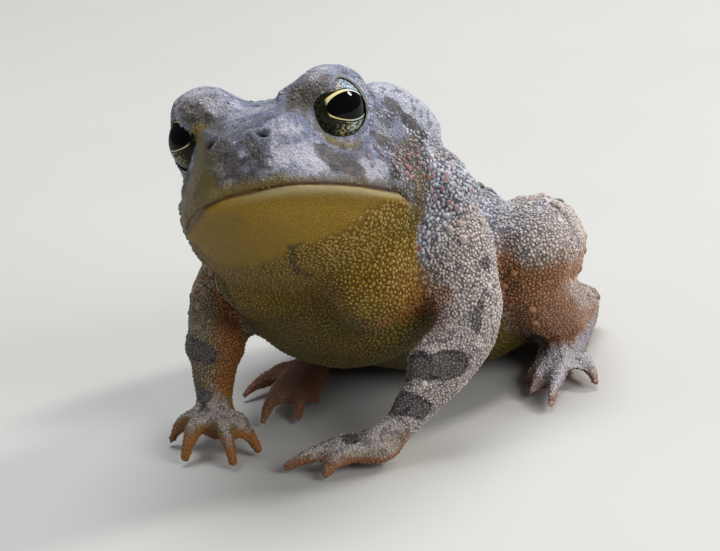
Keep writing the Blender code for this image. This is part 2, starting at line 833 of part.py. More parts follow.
def build_leg(thigh_line, shank_line, foot_line, label, cutter):
    """Thigh, shank and foot, each cut by the ones before it, and cutters for the toes."""
    thigh = fused("thigh_" + label, tube("thigh", thigh_line), FINE_VOXEL, 8)
    thigh = thinned(thigh, THIGH_TRIANGLES)
    thigh_cut = swollen(thigh, CUT_GAP, "thigh_cut")
    thigh = boolean(thigh, cutter, "DIFFERENCE")
    shank = fused("shank_" + label, tube("shank", shank_line), FINE_VOXEL, 6)
    shank = thinned(shank, SHANK_TRIANGLES)
    shank_cut = swollen(shank, CUT_GAP, "shank_cut")
    for other in (cutter, thigh_cut):
        shank = boolean(shank, other, "DIFFERENCE")
    foot_forms = tube("foot", foot_line)
    front = point_of(foot_line, -1) + Vector((0, 0, -0.1))
    foot_forms.append(ball("ball_of_foot", front, (2.4, 2.4, 1.4)))
    foot = thinned(fused("foot_" + label, foot_forms, HAND_VOXEL, 5), FOOT_TRIANGLES)
    foot_cut = swollen(foot, CUT_GAP, "foot_cut")
    for other in (cutter, thigh_cut, shank_cut):
        foot = boolean(foot, other, "DIFFERENCE")
    removed(thigh_cut)
    return thigh, shank, foot, (shank_cut, foot_cut)


# The whole toad


def on_back(point, normal):
    """The top and sides of the trunk, behind the glands and clear of belly and legs."""
    return point.z > 9.0 and normal.z > -0.15 and point.y > 1.5


def outer_side(side, lowest):
    def wanted(point, normal):
        return normal.z > lowest and normal.x * side > -0.3

    return wanted


def with_warts(pieces):
    """The same pieces, with warts on the back and on the outer sides of the legs."""
    plans = {"torso": (TORSO_WARTS, 11, on_back)}
    for side, label in ((1, "left"), (-1, "right")):
        plans["forearm_" + label] = (ARM_WARTS, 20 + side, outer_side(side, -0.2))
        plans["thigh_" + label] = (THIGH_WARTS, 30 + side, outer_side(side, 0.1))
        plans["shank_" + label] = (SHANK_WARTS, 40 + side, outer_side(side, -0.3))
    trees = {obj.name: surface_tree(obj) for obj, _ in pieces}
    made = []
    for obj, finish_name in pieces:
        if obj.name in plans:
            plan, seed, wanted = plans[obj.name]
            others = [tree for name, tree in trees.items() if name != obj.name]
            obj = warted(obj, plan, seed, wanted, others)
        made.append((obj, finish_name))
    return made


def build_toad():
    core = fused("core", head_forms() + trunk_forms(), FINE_VOXEL, 10)
    core_cut = thinned(swollen(core, CUT_GAP, "core_cut"), 3600)
    neck = HEAD @ Vector((0, NECK_BACK, 0))
    lean = Matrix.Rotation(math.radians(-NECK_LEAN), 3, "X")
    backwards = HEAD.to_3x3() @ lean @ Vector((0, 1, 0))
    high_head, high_torso = parted(core, neck, backwards, "head", "torso")
    head, jaw = build_head(high_head)
    torso = floored(thinned(high_torso, TORSO_TRIANGLES))
    pieces = [(head, "skin_back"), (jaw, "skin_belly"), (torso, "skin_back")]
    for side, label in ((1, "left"), (-1, "right")):
        pieces.append((build_eye(side, label), "eye"))
        pieces.append((build_gland(side, label, core_cut), "skin_gland"))
        pieces.append((build_tympanum(side, label, core_cut), "skin_gland"))
    arms = ((ARM_LEFT, FINGERS_LEFT, "left"), (ARM_RIGHT, FINGERS_RIGHT, "right"))
    for line, fingers, label in arms:
        upper, forearm, hand, arm_cut = build_arm(line, label, core_cut)
        digits = build_digits("finger_" + label, fingers, (arm_cut,))
        removed(arm_cut)
        pieces += [(part, "skin_leg") for part in (upper, forearm, floored(hand))]
        pieces += [(digit, "skin_digit") for digit in digits]
    legs = (
        ((THIGH_LEFT, SHANK_LEFT, FOOT_LEFT), TOES_LEFT, "left"),
        ((THIGH_RIGHT, SHANK_RIGHT, FOOT_RIGHT), TOES_RIGHT, "right"),
    )
    for lines, toes, label in legs:
        thigh, shank, foot, cutters = build_leg(*lines, label, core_cut)
        digits = build_digits("toe_" + label, toes, cutters)
        removed(*cutters)
        pieces += [(part, "skin_leg") for part in (thigh, shank, floored(foot))]
        pieces += [(digit, "skin_digit") for digit in digits]
    removed(core_cut)
    return with_warts(pieces)


def finish(pieces):
    """Gives each piece its material and puts the origin at the middle of the base, in metres."""
    toad = new_collection("fowlers_toad")
    corners = [vert.co for obj, _ in pieces for vert in obj.data.vertices]
    low = Vector([min(corner[i] for corner in corners) for i in range(3)])
    high = Vector([max(corner[i] for corner in corners) for i in range(3)])
    origin = Vector(((low.x + high.x) / 2, (low.y + high.y) / 2, low.z))
    place = Matrix.Scale(TO_METRES, 4) @ Matrix.Translation(-origin)
    for obj, finish_name in pieces:
        obj.data.transform(place)
        obj.data.materials.clear()
        obj.data.materials.append(material(finish_name))
        obj.data.shade_smooth()
        obj.data.set_sharp_from_angle(angle=math.radians(50))
        for group in list(obj.users_collection):
            group.objects.unlink(obj)
        toad.objects.link(obj)
        print(obj.name, len(obj.data.polygons))
    print("origin moved by", tuple(round(c, 3) for c in origin))


clear_scene()
finish(build_toad())
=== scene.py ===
# %% [markdown]
# # A Fowler's toad, life size
# The real animal is a small, dry-skinned toad that sits propped on its front legs.
# Its look comes from three things: a soft body under loose skin, thousands of granules and
# warts on that skin, and a pair of dark, gold-rimmed eyes.
# One way is to sculpt all of it by hand. This script makes it by rule instead: the measured
# solids give the body, one skin is drawn over them, and granules grow on the skin.

# %% Load the measured solids
import itertools
import math
import bmesh
import bpy
import numpy as np
from mathutils import Matrix, Vector
from mathutils.bvhtree import BVHTree
from mathutils.kdtree import KDTree


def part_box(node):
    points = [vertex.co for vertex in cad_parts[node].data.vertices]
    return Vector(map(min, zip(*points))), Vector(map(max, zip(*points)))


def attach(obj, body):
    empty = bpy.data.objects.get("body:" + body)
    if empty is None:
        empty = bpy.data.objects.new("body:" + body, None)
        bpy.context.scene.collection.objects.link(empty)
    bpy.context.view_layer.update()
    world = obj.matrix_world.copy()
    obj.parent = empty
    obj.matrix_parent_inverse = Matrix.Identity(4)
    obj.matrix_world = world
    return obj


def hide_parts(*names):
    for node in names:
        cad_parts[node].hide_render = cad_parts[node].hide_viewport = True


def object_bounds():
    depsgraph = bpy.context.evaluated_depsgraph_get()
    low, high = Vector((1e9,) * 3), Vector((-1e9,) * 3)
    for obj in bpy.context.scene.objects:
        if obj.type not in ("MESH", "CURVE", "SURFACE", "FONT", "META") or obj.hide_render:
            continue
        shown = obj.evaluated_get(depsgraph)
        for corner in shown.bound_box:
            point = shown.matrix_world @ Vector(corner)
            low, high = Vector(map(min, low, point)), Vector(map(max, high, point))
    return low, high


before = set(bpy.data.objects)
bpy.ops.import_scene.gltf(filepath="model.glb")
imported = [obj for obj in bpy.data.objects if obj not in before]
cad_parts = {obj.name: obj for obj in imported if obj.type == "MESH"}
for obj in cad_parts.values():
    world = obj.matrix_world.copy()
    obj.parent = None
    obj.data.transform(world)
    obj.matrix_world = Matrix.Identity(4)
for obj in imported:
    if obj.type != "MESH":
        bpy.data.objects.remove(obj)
cad_box = [list(corner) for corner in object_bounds()]
print("solids:", len(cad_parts), "box in mm:", [[round(1000 * x, 1) for x in c] for c in cad_box])

# %% [markdown]
# ## Where things are on the toad
# Everything on the face is placed from the head's own frame, because the head is turned,
# raised and tilted: x runs to the toad's left, y backwards and z up, in millimetres, from
# midway between the eyeballs. The solids were made in the same frame, so the middle of the
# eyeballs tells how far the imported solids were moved.

# %% The head's frame and the eyes' frames
HEAD_PLACE = Vector((1.2, -14.0, 34.1))
HEAD_YAW, HEAD_PITCH, HEAD_ROLL = 16.5, 14.5, 9.5
EYE = Vector((6.3, -0.6, -0.3))
GAZE_YAW, GAZE_RISE = 46.0, 3.0

HEAD = (
    Matrix.Translation(HEAD_PLACE)
    @ Matrix.Rotation(math.radians(HEAD_YAW), 4, "Z")
    @ Matrix.Rotation(math.radians(-HEAD_PITCH), 4, "X")
    @ Matrix.Rotation(math.radians(-HEAD_ROLL), 4, "Y")
)


def gaze_frame(side):
    """An eyeball's frame: z is where it looks, x runs backwards along the lids, y is up."""
    out, rise = math.radians(GAZE_YAW), math.radians(GAZE_RISE)
    look = Vector((side * math.sin(out) * math.cos(rise), -math.cos(out) * math.cos(rise), math.sin(rise)))
    look = HEAD.to_3x3() @ look
    along = (HEAD.to_3x3() @ Vector((0, 0, 1))).cross(look).normalized()
    turn = Matrix((along, look.cross(along), look)).transposed().to_4x4()
    return Matrix.Translation(HEAD @ Vector((side * EYE.x, EYE.y, EYE.z))) @ turn


def eye_shift(side, label):
    low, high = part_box("eye_" + label)
    return gaze_frame(side).translation - (Vector(low) + Vector(high)) * 500


SHIFT = (eye_shift(1, "left") + eye_shift(-1, "right")) / 2
print("the packed solids are moved by", [round(x, 3) for x in SHIFT], "mm")


def inside_frame(matrix, points):
    """Points, as rows, seen in another frame."""
    back = np.array(matrix.inverted())
    return points @ back[:3, :3].T + back[:3, 3]


def on_head(*place):
    return np.array(HEAD @ Vector(place))


# %% [markdown]
# ## Camera
# The photograph was taken from low in front and to the toad's left, with the camera tipped a
# little. A long lens keeps the small animal free of distortion.

# %% Camera
AZIMUTH, ELEVATION, TIP = (math.radians(a) for a in (33.0, 17.0, 7.0))
DISTANCE = 300.0
PIXELS_PER_MM = 10.2
back = Vector(
    (math.sin(AZIMUTH) * math.cos(ELEVATION), -math.cos(AZIMUTH) * math.cos(ELEVATION), math.sin(ELEVATION))
)
level = Vector((math.cos(AZIMUTH), math.sin(AZIMUTH), 0))
upright = back.cross(level)
right = level * math.cos(TIP) - upright * math.sin(TIP)
up = level * math.sin(TIP) + upright * math.cos(TIP)
aim = Vector((3, -6, 20)) + right * (15 / PIXELS_PER_MM) - up * (35.5 / PIXELS_PER_MM)

camera = bpy.data.objects.new("camera", bpy.data.cameras.new("camera"))
camera.data.lens = 36 * DISTANCE * PIXELS_PER_MM / 720
camera.data.clip_start, camera.data.clip_end = 0.01, 20
camera.matrix_world = (
    Matrix.Translation((aim + back * DISTANCE - SHIFT) * 0.001)
    @ Matrix((right, up, back)).transposed().to_4x4()
)
bpy.context.scene.collection.objects.link(camera)
bpy.context.scene.camera = camera
bpy.context.scene.view_settings.view_transform = "Standard"
print("lens", round(camera.data.lens), "mm")

# %% [markdown]
# ## Shader maths
# A node tree is easier to read as arithmetic. The small class below wraps a socket, so that
# adding or multiplying two of them adds a Math node. Colours go through Mix nodes.

# %% A small class for shader maths


class Wire:
    """A socket of a node tree that arithmetic can be done with."""

    def __init__(self, finish, socket):
        self.finish, self.socket = finish, socket

    def math(self, operation, *others):
        return self.finish.node("ShaderNodeMath", {"operation": operation}, dict(enumerate((self, *others))))

    def __add__(self, other):
        return self.math("ADD", other)

    def __sub__(self, other):
        return self.math("SUBTRACT", other)

    def __rsub__(self, other):
        return self.finish.node("ShaderNodeMath", {"operation": "SUBTRACT"}, {0: other, 1: self})

    def __mul__(self, other):
        return self.math("MULTIPLY", other)

    def __truediv__(self, other):
        return self.math("DIVIDE", other)

    __radd__ = __add__
    __rmul__ = __mul__

    def over(self, low, high):
        """0 below low, 1 above high, smooth between."""
        settings = {"interpolation_type": "SMOOTHSTEP"}
        return self.finish.node(
            "ShaderNodeMapRange", settings, {"Value": self, "From Min": low, "From Max": high}
        )


class Finish:
    """One material: what it needs of nodes, wires and the shader itself."""

    def __init__(self, name, roughness=0.5):
        self.material = bpy.data.materials.new(name)
        self.material.use_nodes = True
        self.tree = self.material.node_tree
        self.shader = self.tree.nodes["Principled BSDF"]
        self.shader.inputs["Roughness"].default_value = roughness
        self.place = self.node("ShaderNodeTexCoord", {}, {}, "Object")

    def plug(self, socket, value):
        if isinstance(value, Wire):
            self.tree.links.new(value.socket, socket)
        else:
            socket.default_value = value

    def node(self, kind, settings, inputs, output=0):
        made = self.tree.nodes.new(kind)
        for name, value in settings.items():
            setattr(made, name, value)
        for name, value in inputs.items():
            self.plug(made.inputs[name], value)
        return Wire(self, made.outputs[output])

    def attribute(self, name, output="Fac"):
        return self.node("ShaderNodeAttribute", {"attribute_name": name}, {}, output)

    def noise(self, size_mm, detail=2.0, stretch=None, seed=0.0):
        """Soft random values whose features are about size_mm wide."""
        place = self.place
        if stretch or seed:
            inputs = {"Scale": stretch or (1, 1, 1), "Location": (seed, seed / 2, -seed)}
            place = self.node("ShaderNodeMapping", {}, {"Vector": place, **inputs})
        inputs = {"Vector": place, "Scale": 1000 / size_mm, "Detail": detail, "Roughness": 0.6}
        return self.node("ShaderNodeTexNoise", {}, inputs)

    def cells(self, size_mm, feature="F1"):
        inputs = {"Vector": self.place, "Scale": 1000 / size_mm}
        return self.node("ShaderNodeTexVoronoi", {"feature": feature}, inputs, "Distance")

    def mix(self, factor, first, second, blend="MIX"):
        settings = {"data_type": "RGBA", "blend_type": blend}
        return self.node("ShaderNodeMix", settings, {0: factor, 6: first, 7: second}, 2)

    def bump(self, height, depth_mm, strength=1.0):
        inputs = {"Height": height, "Distance": depth_mm * 0.001, "Strength": strength}
        self.plug(self.shader.inputs["Normal"], self.node("ShaderNodeBump", {}, inputs))


def paint(red, green, blue):
    """A colour given in screen values from 0 to 255, as the shader wants it."""
    shares = (red / 255, green / 255, blue / 255)
    return (*(s / 12.92 if s < 11 / 255 else ((s + 0.055) / 1.055) ** 2.4 for s in shares), 1)


# %% [markdown]
# ## Floor and light
# The toad sits on a plain pale sheet. A wide soft light hangs above it, as an overcast sky
# does. A warmer one behind its left side draws the rim of the gland and knee, one at its left
# front lights the flank, and a weak one fills the shade under the chin. The last two leave no
# reflection, so that they don't show in the wet eyes.

# %% Floor and lights
floor_mesh = bpy.data.meshes.new("floor")
floor_mesh.from_pydata([(-3, -3, 0), (3, -3, 0), (3, 3, 0), (-3, 3, 0)], [], [(0, 1, 2, 3)])
floor = bpy.data.objects.new("floor", floor_mesh)
bpy.context.scene.collection.objects.link(floor)
sheet = Finish("pale_sheet", 0.8)
tint = sheet.mix(sheet.noise(60), paint(190, 188, 183), paint(198, 196, 191))
sheet.plug(sheet.shader.inputs["Base Color"], tint)
floor_mesh.materials.append(sheet.material)


def lamp(name, place, size, power, colour):
    """A round soft light at a place in metres, turned to the toad."""
    light = bpy.data.lights.new(name, "AREA")
    light.shape, light.size, light.energy, light.color = "DISK", size, power, colour
    obj = bpy.data.objects.new(name, light)
    bpy.context.scene.collection.objects.link(obj)
    turn = (Vector((0, 0, 0.02)) - Vector(place)).to_track_quat("-Z", "Y")
    obj.matrix_world = Matrix.Translation(place) @ turn.to_matrix().to_4x4()
    return obj


COOL, WARM, NEUTRAL = (0.92, 0.96, 1.0), (1.0, 0.97, 0.92), (0.95, 0.97, 1.0)
lamp("sky", (-0.04, 0.18, 0.62), size=0.50, power=3.5, colour=COOL)
lamp("low_sun", (0.34, 0.42, 0.38), size=0.14, power=2.5, colour=WARM)
for unseen in (
    lamp("flank_light", (0.50, -0.16, 0.25), size=0.30, power=2.2, colour=NEUTRAL),
    lamp("window", (-0.28, -0.42, 0.34), size=0.35, power=0.30, colour=COOL),
):
    unseen.visible_glossy = False
world = bpy.data.worlds.new("studio")
world.use_nodes = True
world.node_tree.nodes["Background"].inputs["Color"].default_value = (0.80, 0.84, 0.9, 1)
world.node_tree.nodes["Background"].inputs["Strength"].default_value = 0.20
bpy.context.scene.world = world
print("lamps:", len(bpy.data.lights))

# %% [markdown]
# ## One skin over all the solids
# A real toad has one skin, but the solids are many parts with thin gaps between them. The
# gaps could be bridged by hand, point by point. Here every solid is swollen a little so that
# neighbours overlap, a voxel remesh draws one closed surface round them, and that surface is
# then drawn in again by the same amount. Points are kept in millimetres until the end.

# %% Join the solids and draw one skin round them
SWELL = 0.36
VOXEL = 0.42


def array_of(mesh, what="co"):
    out = np.empty(len(mesh.vertices) * 3, np.float32)
    mesh.vertices.foreach_get(what, out)
    return out.reshape(-1, 3).astype(float)


def put(mesh, points):
    mesh.vertices.foreach_set("co", points.astype(np.float32).ravel())
    mesh.update()


def pairs(mesh):
    out = np.empty(len(mesh.edges) * 2, np.int32)
    mesh.edges.foreach_get("vertices", out)
    return out.reshape(-1, 2)


def averaged(values, edges, share, keep=None):
    """Each value moved by a share of the way to its neighbours' mean."""
    first, second = edges.T
    count = len(values)
    ends, others = np.concatenate((first, second)), np.concatenate((second, first))
    links = np.maximum(np.bincount(ends, minlength=count), 1)
    flat = values.reshape(count, -1)
    mean = (
        np.stack([np.bincount(ends, flat[others, k], count) for k in range(flat.shape[1])], 1)
        / links[:, None]
    )
    moved = (mean - flat) * share
    if keep is not None:
        moved *= keep[:, None]
    return (flat + moved).reshape(values.shape)


flesh = [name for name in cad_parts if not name.startswith("eye_")]
shift = np.array(SHIFT)
cad_points, cad_faces, cad_owner = [], [], []
work = bmesh.new()
for name in flesh:
    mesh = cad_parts[name].data
    points = array_of(mesh) * 1000 + shift
    start = len(cad_points)
    cad_points.extend(map(tuple, points))
    for face in mesh.polygons:
        cad_faces.append([start + i for i in face.vertices])
        cad_owner.append(name)
    work.from_mesh(mesh)
bmesh.ops.remove_doubles(work, verts=work.verts, dist=1e-6)
bmesh.ops.recalc_face_normals(work, faces=work.faces)
skin_mesh = bpy.data.meshes.new("skin")
work.to_mesh(skin_mesh)
work.free()
put(skin_mesh, array_of(skin_mesh) * 1000 + shift)
put(skin_mesh, array_of(skin_mesh) + array_of(skin_mesh, "normal") * SWELL)
skin = bpy.data.objects.new("skin", skin_mesh)
bpy.context.scene.collection.objects.link(skin)


def with_modifier(obj, kind, **settings):
    """Replaces the object's mesh by what one modifier makes of it."""
    modifier = obj.modifiers.new(kind.lower(), kind)
    for name, value in settings.items():
        setattr(modifier, name, value)
    graph = bpy.context.evaluated_depsgraph_get()
    made = bpy.data.meshes.new_from_object(
        obj.evaluated_get(graph), preserve_all_data_layers=True, depsgraph=graph
    )
    obj.modifiers.clear()
    old, obj.data = obj.data, made
    bpy.data.meshes.remove(old)
    return made


skin_mesh = with_modifier(skin, "REMESH", mode="VOXEL", voxel_size=VOXEL)
edges = pairs(skin_mesh)
points = array_of(skin_mesh)
for _ in range(3):
    points = averaged(points, edges, 0.5)
put(skin_mesh, points)
put(skin_mesh, points - array_of(skin_mesh, "normal") * SWELL)
print("skin:", len(skin_mesh.vertices), "points")

# %% [markdown]
# ## Smoothing without shrinking
# Plain smoothing would thin the fingers. Each pass here moves the points in by a little more
# than the next one moves them out, which irons the facets of the solids away and keeps the size.

# %% Iron the facets out
points = array_of(skin_mesh)
nose = inside_frame(HEAD, points)
eye_distance = np.minimum(*(np.linalg.norm(inside_frame(gaze_frame(s), points), axis=1) for s in (1, -1)))
calm = np.clip((eye_distance - 3.4) / 1.0, 0.15, 1)
GLAND_SIZE = np.array((2.7, 6.4, 2.0))


def gland_frame(side):
    turn = Matrix.Rotation(math.radians(-17 * side), 4, "Z") @ Matrix.Rotation(math.radians(-31), 4, "X")
    return (
        HEAD @ Matrix.Translation((side * 10, 13.4, -1.2)) @ turn
        @ Matrix.Rotation(math.radians(30 * side), 4, "Y")
    )


foot_of_gland = np.zeros(len(points))
for side in (1, -1):
    reach = np.linalg.norm(inside_frame(gland_frame(side), points) / GLAND_SIZE, axis=1)
    foot_of_gland = np.maximum(foot_of_gland, np.exp(-(((reach - 1.15) / 0.28) ** 2)))
for _ in range(70):
    points = averaged(points, edges, 0.5, foot_of_gland)
for _ in range(18):
    points = averaged(points, edges, 0.55, calm)
    points = averaged(points, edges, -0.57, calm)
points[:, 2] = np.maximum(points[:, 2], 0.0)
put(skin_mesh, points)

# %% [markdown]
# ## More points on the face
# The rims of the lids, the nostrils and the lips are narrower than the remesh can show, so
# only there each face is split in four, twice over where the finest lines run.

# %% Split the faces of the skin where the finest forms are
MOUTH_CORNER_Y, MOUTH_FRONT_Z, MOUTH_CORNER_Z = 3.6, -6.4, -9.4
NOSTRIL = (2.75, -10.9, -1.35)


def smooth(low, high, value):
    t = np.clip((value - low) / (high - low), 0, 1)
    return t * t * (3 - 2 * t)


def mouth_height(nose):
    """How high the line of the mouth runs, in the head's frame. It sags a little on the right."""
    straight = MOUTH_FRONT_Z + (MOUTH_CORNER_Z - MOUTH_FRONT_Z) * (nose[:, 1] + 12) / (MOUTH_CORNER_Y + 12)
    straight = straight - 0.75 * smooth(1.6, MOUTH_CORNER_Y + 0.8, nose[:, 1])
    return straight - 0.7 * smooth(-0.6, -6.4, nose[:, 0]) * smooth(0.0, -6.0, nose[:, 1])


def split(mesh, chosen):
    """Cuts every face whose corners are all chosen into four."""
    work = bmesh.new()
    work.from_mesh(mesh)
    work.verts.ensure_lookup_table()
    found = {edge for face in work.faces if all(chosen[v.index] for v in face.verts) for edge in face.edges}
    bmesh.ops.subdivide_edges(work, edges=list(found), cuts=1, use_grid_fill=True)
    work.to_mesh(mesh)
    work.free()
    mesh.update()


def fine_places(points, lid_low, lid_high, lip, pit):
    nose = inside_frame(HEAD, points)
    found = (np.abs(nose[:, 2] - mouth_height(nose)) < lip) & (nose[:, 1] < MOUTH_CORNER_Y + 1.2)
    for side in (1, -1):
        x, y, z = inside_frame(gaze_frame(side), points).T
        across = np.hypot(x, y)
        found |= (across > lid_low) & (across < lid_high) & (z > 0)
        found |= np.linalg.norm(nose - (side * NOSTRIL[0], NOSTRIL[1], NOSTRIL[2]), axis=1) < pit
    return found


split(skin_mesh, fine_places(array_of(skin_mesh), 0.0, 5.0, 1.25, 1.5))
split(skin_mesh, fine_places(array_of(skin_mesh), 2.5, 3.9, 0.35, 1.1))
edges = pairs(skin_mesh)
points = array_of(skin_mesh)
fine = fine_places(points, 0.0, 5.0, 1.25, 1.5).astype(float)
for _ in range(4):
    points = averaged(points, edges, 0.5, fine)
put(skin_mesh, points)
print("skin:", len(points), "points,", sum(len(f.vertices) - 2 for f in skin_mesh.polygons), "triangles")

# %% [markdown]
# ## Sculpt by rule
# Each detail is a rule that says how far a point moves along the surface's own direction:
# a ring for a lid, a dent for a nostril, a groove for the mouth. A brush could do the same by
# hand, but a rule can be read and changed. All the rules are added up and the points are moved
# once. The last of them draws the left forearm in, which the solids have too thick.

# %% Tools for the rules


def ring(distance, radius, width):
    return np.exp(-(((distance - radius) / width) ** 2))


def near(points, place, radius):
    return np.exp(-((np.linalg.norm((points - np.array(place)) / np.array(radius), axis=1)) ** 2))


def along(points, *path, radius):
    """1 on a line through the places of path, falling off over radius."""
    best = np.full(len(points), 1e9)
    for start, end in zip(path, path[1:]):
        start, end = np.array(start, float), np.array(end, float)
        t = np.clip((points - start) @ (end - start) / ((end - start) @ (end - start)), 0, 1)
        best = np.minimum(best, np.linalg.norm(points - start - t[:, None] * (end - start), axis=1))
    return np.exp(-((best / radius) ** 2))


def along_face(points, *places, radius, side=1):
    """As along, for places in the head's frame. With side -1 they are mirrored to the right."""
    return along(points, *(on_head(side * a, b, c) for a, b, c in places), radius=radius)


def wander(points, size, seed):
    """Random values from 0 to 1 that change smoothly over about size millimetres."""
    cell = np.floor(points / size).astype(np.int64)
    part = points / size - cell
    part = part * part * (3 - 2 * part)
    total = np.zeros(len(points))
    for corner in itertools.product((0, 1), repeat=3):
        x, y, z = (cell + corner).T
        mixed = (x * 73856093 ^ y * 19349663 ^ z * 83492791 ^ seed * 2654435761) & 0x7FFFFFFF
        mixed = (mixed * 1103515245 + 12345) & 0x7FFFFFFF
        value = ((mixed >> 9) % 4096) / 4095
        total += value * np.prod(np.where(corner, part, 1 - part), axis=1)
    return total


# %% Lids
# For each side, how far the rims turn towards the eye's middle: (bearing, width, millimetres).
# A bearing of 0 points backwards along the head, and one of 90 points up.
LIDS = {
    1: (
        (126, 34, 1.15), (102, 15, 0.60), (55, 24, -0.70), (-135, 30, -0.35), (180, 20, 0.25), (-25, 25, -0.2)
    ),
    -1: ((150, 34, 0.95), (90, 50, 0.65), (-90, 50, 0.15)),
}


LID_REACH = 3.42


def draw_lids(points, side):
    """Turns the rims of the lids about the eyeball's middle and thins them down to the ball."""
    turn = gaze_frame(side)
    local = inside_frame(turn, points)
    back, rise, ahead = side * local[:, 0], local[:, 1], local[:, 2]
    across, reach = np.hypot(back, rise), np.linalg.norm(local, axis=1)
    bearing = np.degrees(np.arctan2(rise, back))
    closing = np.zeros(len(points))
    for middle, width, amount in LIDS[side]:
        away = (bearing - middle + 180) % 360 - 180
        closing += amount * np.exp(-((away / width) ** 2))
    lids = smooth(5.2, 3.3, across) * (ahead > 0)
    angle = np.arctan2(across, ahead) - closing * lids * smooth(1.2, 2.4, across) / np.maximum(reach, 1)
    thin = 0.35 + 0.65 * smooth(3.0, 4.4, across)
    outside = (ahead > 0) & (reach > LID_REACH) & (across < 4.4)
    flat = np.where(outside, LID_REACH + (reach - LID_REACH) * thin, reach)
    scale = np.sin(angle) * flat / np.maximum(across, 1e-6)
    moved = np.stack((local[:, 0] * scale, rise * scale, np.cos(angle) * flat), 1)
    matrix = np.array(turn)
    return np.where((lids > 0)[:, None], moved @ matrix[:3, :3].T + matrix[:3, 3], points)


for side in (1, -1):
    points = draw_lids(points, side)
put(skin_mesh, points)
normals = array_of(skin_mesh, "normal")
nose = inside_frame(HEAD, points)
lift = np.zeros(len(points))
tubercles = wander(points, 0.42, 31)
for side in (1, -1):
    x, y, z = inside_frame(gaze_frame(side), points).T
    across = np.hypot(x, y)
    front = smooth(0.0, 0.8, z)
    lift += front * 0.05 * ring(across, 3.2, 0.26)
    crease = 4.0 + 0.22 * wander(points, 2.0, 3) + 0.25 * smooth(0, 2, side * x)
    under_eye = smooth(0.9, -0.8, y) * smooth(-4.2, -2.6, side * x)
    lift -= front * 0.34 * ring(across, crease, 0.20) * under_eye
    lift += front * 0.20 * ring(across, crease - 0.42, 0.26) * under_eye * (0.6 + 0.8 * tubercles)
    lift += front * 0.22 * ring(across, crease + 0.62, 0.42) * smooth(0.2, -1.4, y)
    lift -= front * 0.12 * ring(across, 3.75, 0.20) * smooth(-0.5, 1.0, y)
print("lids drawn round both eyes")

# %% Nostrils, ears and the skin behind the eyes
nostril = np.zeros(len(points))
for side in (1, -1):
    pit = nose - (side * NOSTRIL[0], NOSTRIL[1], NOSTRIL[2])
    out = side * 0.80 * pit[:, 0] + 0.60 * pit[:, 1]
    inward = side * 0.60 * pit[:, 0] - 0.80 * pit[:, 1]
    slit = np.sqrt((out / 0.50) ** 2 + ((pit[:, 2] + 0.25 * out) / 0.25) ** 2 + inward**2 / 1.2)
    nostril = np.maximum(nostril, np.exp(-(slit**4)) * (1.0 if side > 0 else 0.8))
    lift += 0.14 * ring(slit, 2.3, 0.8) * smooth(-0.6, 0.4, pit[:, 2]) - 0.70 * np.exp(-(slit**2))
    lift += 0.55 * near(nose, (side * 7.7, 7.0, 0.6), (2.1, 2.4, 1.8))
    for step in range(6):
        first = (9.0 + 0.16 * step, 5.2 + 0.30 * step, 0.2 - 0.62 * step)
        last = (10.3 + 0.20 * step, 8.0 + 0.24 * step, -1.6 - 0.66 * step)
        lift += 0.10 * along_face(points, first, last, radius=0.16, side=side)
    fold = ((9.4, 3.4, 0.6), (9.7, 4.2, -2.4), (10.2, 3.8, -4.4))
    lift += 0.16 * along_face(points, *fold, radius=0.55, side=side)
    ear = Matrix.Rotation(math.radians(side * 12), 4, "Z") @ Matrix.Rotation(math.radians(side * 20), 4, "Y")
    ear = HEAD @ Matrix.Translation((side * 9.9, 6.6, -3.0)) @ ear
    x, y, z = inside_frame(ear, points).T
    drum = np.hypot(y / 1.4, z / 1.75)
    outer = smooth(-1.2, 0.2, side * x)
    lift += outer * (0.13 * ring(drum, 1.0, 0.16) - 0.16 * smooth(1.0, 0.55, drum))
print("nostrils cover", int((nostril > 0.5).sum()), "points")

# %% [markdown]
# ## Mouth, jaw and folds
# A toad's mouth is a long closed line with a low lip on either side of it, and the loose skin
# falls into grooves behind the jaw, at the throat and in the armpit. They could be cut as loops
# of edges, in a mesh made for it. A groove that follows a list of places needs no such mesh, so
# here each fold is a line of places with a radius.

# %% Lips and jaw
JAW_GROOVE = (
    (12.9, 8.0, -5.4), (13.3, 8.0, -7.6), (13.0, 8.1, -9.6), (12.1, 7.4, -11.2),
    (11.0, 6.6, -12.8), (10.4, 6.9, -14.6), (10.1, 7.7, -17.0), (9.4, 8.4, -19.4),
)
JAW_SHELF = ((12.3, 6.7, -6.0), (12.6, 6.7, -7.8), (12.3, 6.5, -9.6), (11.5, 5.8, -11.2))
below = nose[:, 2] - mouth_height(nose)
before = smooth(MOUTH_CORNER_Y + 0.9, MOUTH_CORNER_Y - 0.6, nose[:, 1])
lift += before * (0.12 * ring(below, 0.62, 0.36) + 0.15 * ring(below, -0.62, 0.40))
lift -= before * (0.34 * ring(below, 0.0, 0.16) + 0.10 * ring(below, -1.75, 0.5))
for side in (1, -1):
    lift -= 0.55 * along_face(points, *JAW_GROOVE, radius=0.55, side=side)
    lift += 0.34 * along_face(points, *JAW_SHELF, radius=1.0, side=side)
    for step in range(4):
        first = (11.2, 3.9 + 0.3 * step, -9.6 - 0.35 * step)
        last = (11.6, 5.9, -8.4 - 1.15 * step)
        lift -= 0.12 * along_face(points, first, last, radius=0.22, side=side)
print("deepest groove so far:", round(lift.min(), 2), "mm")

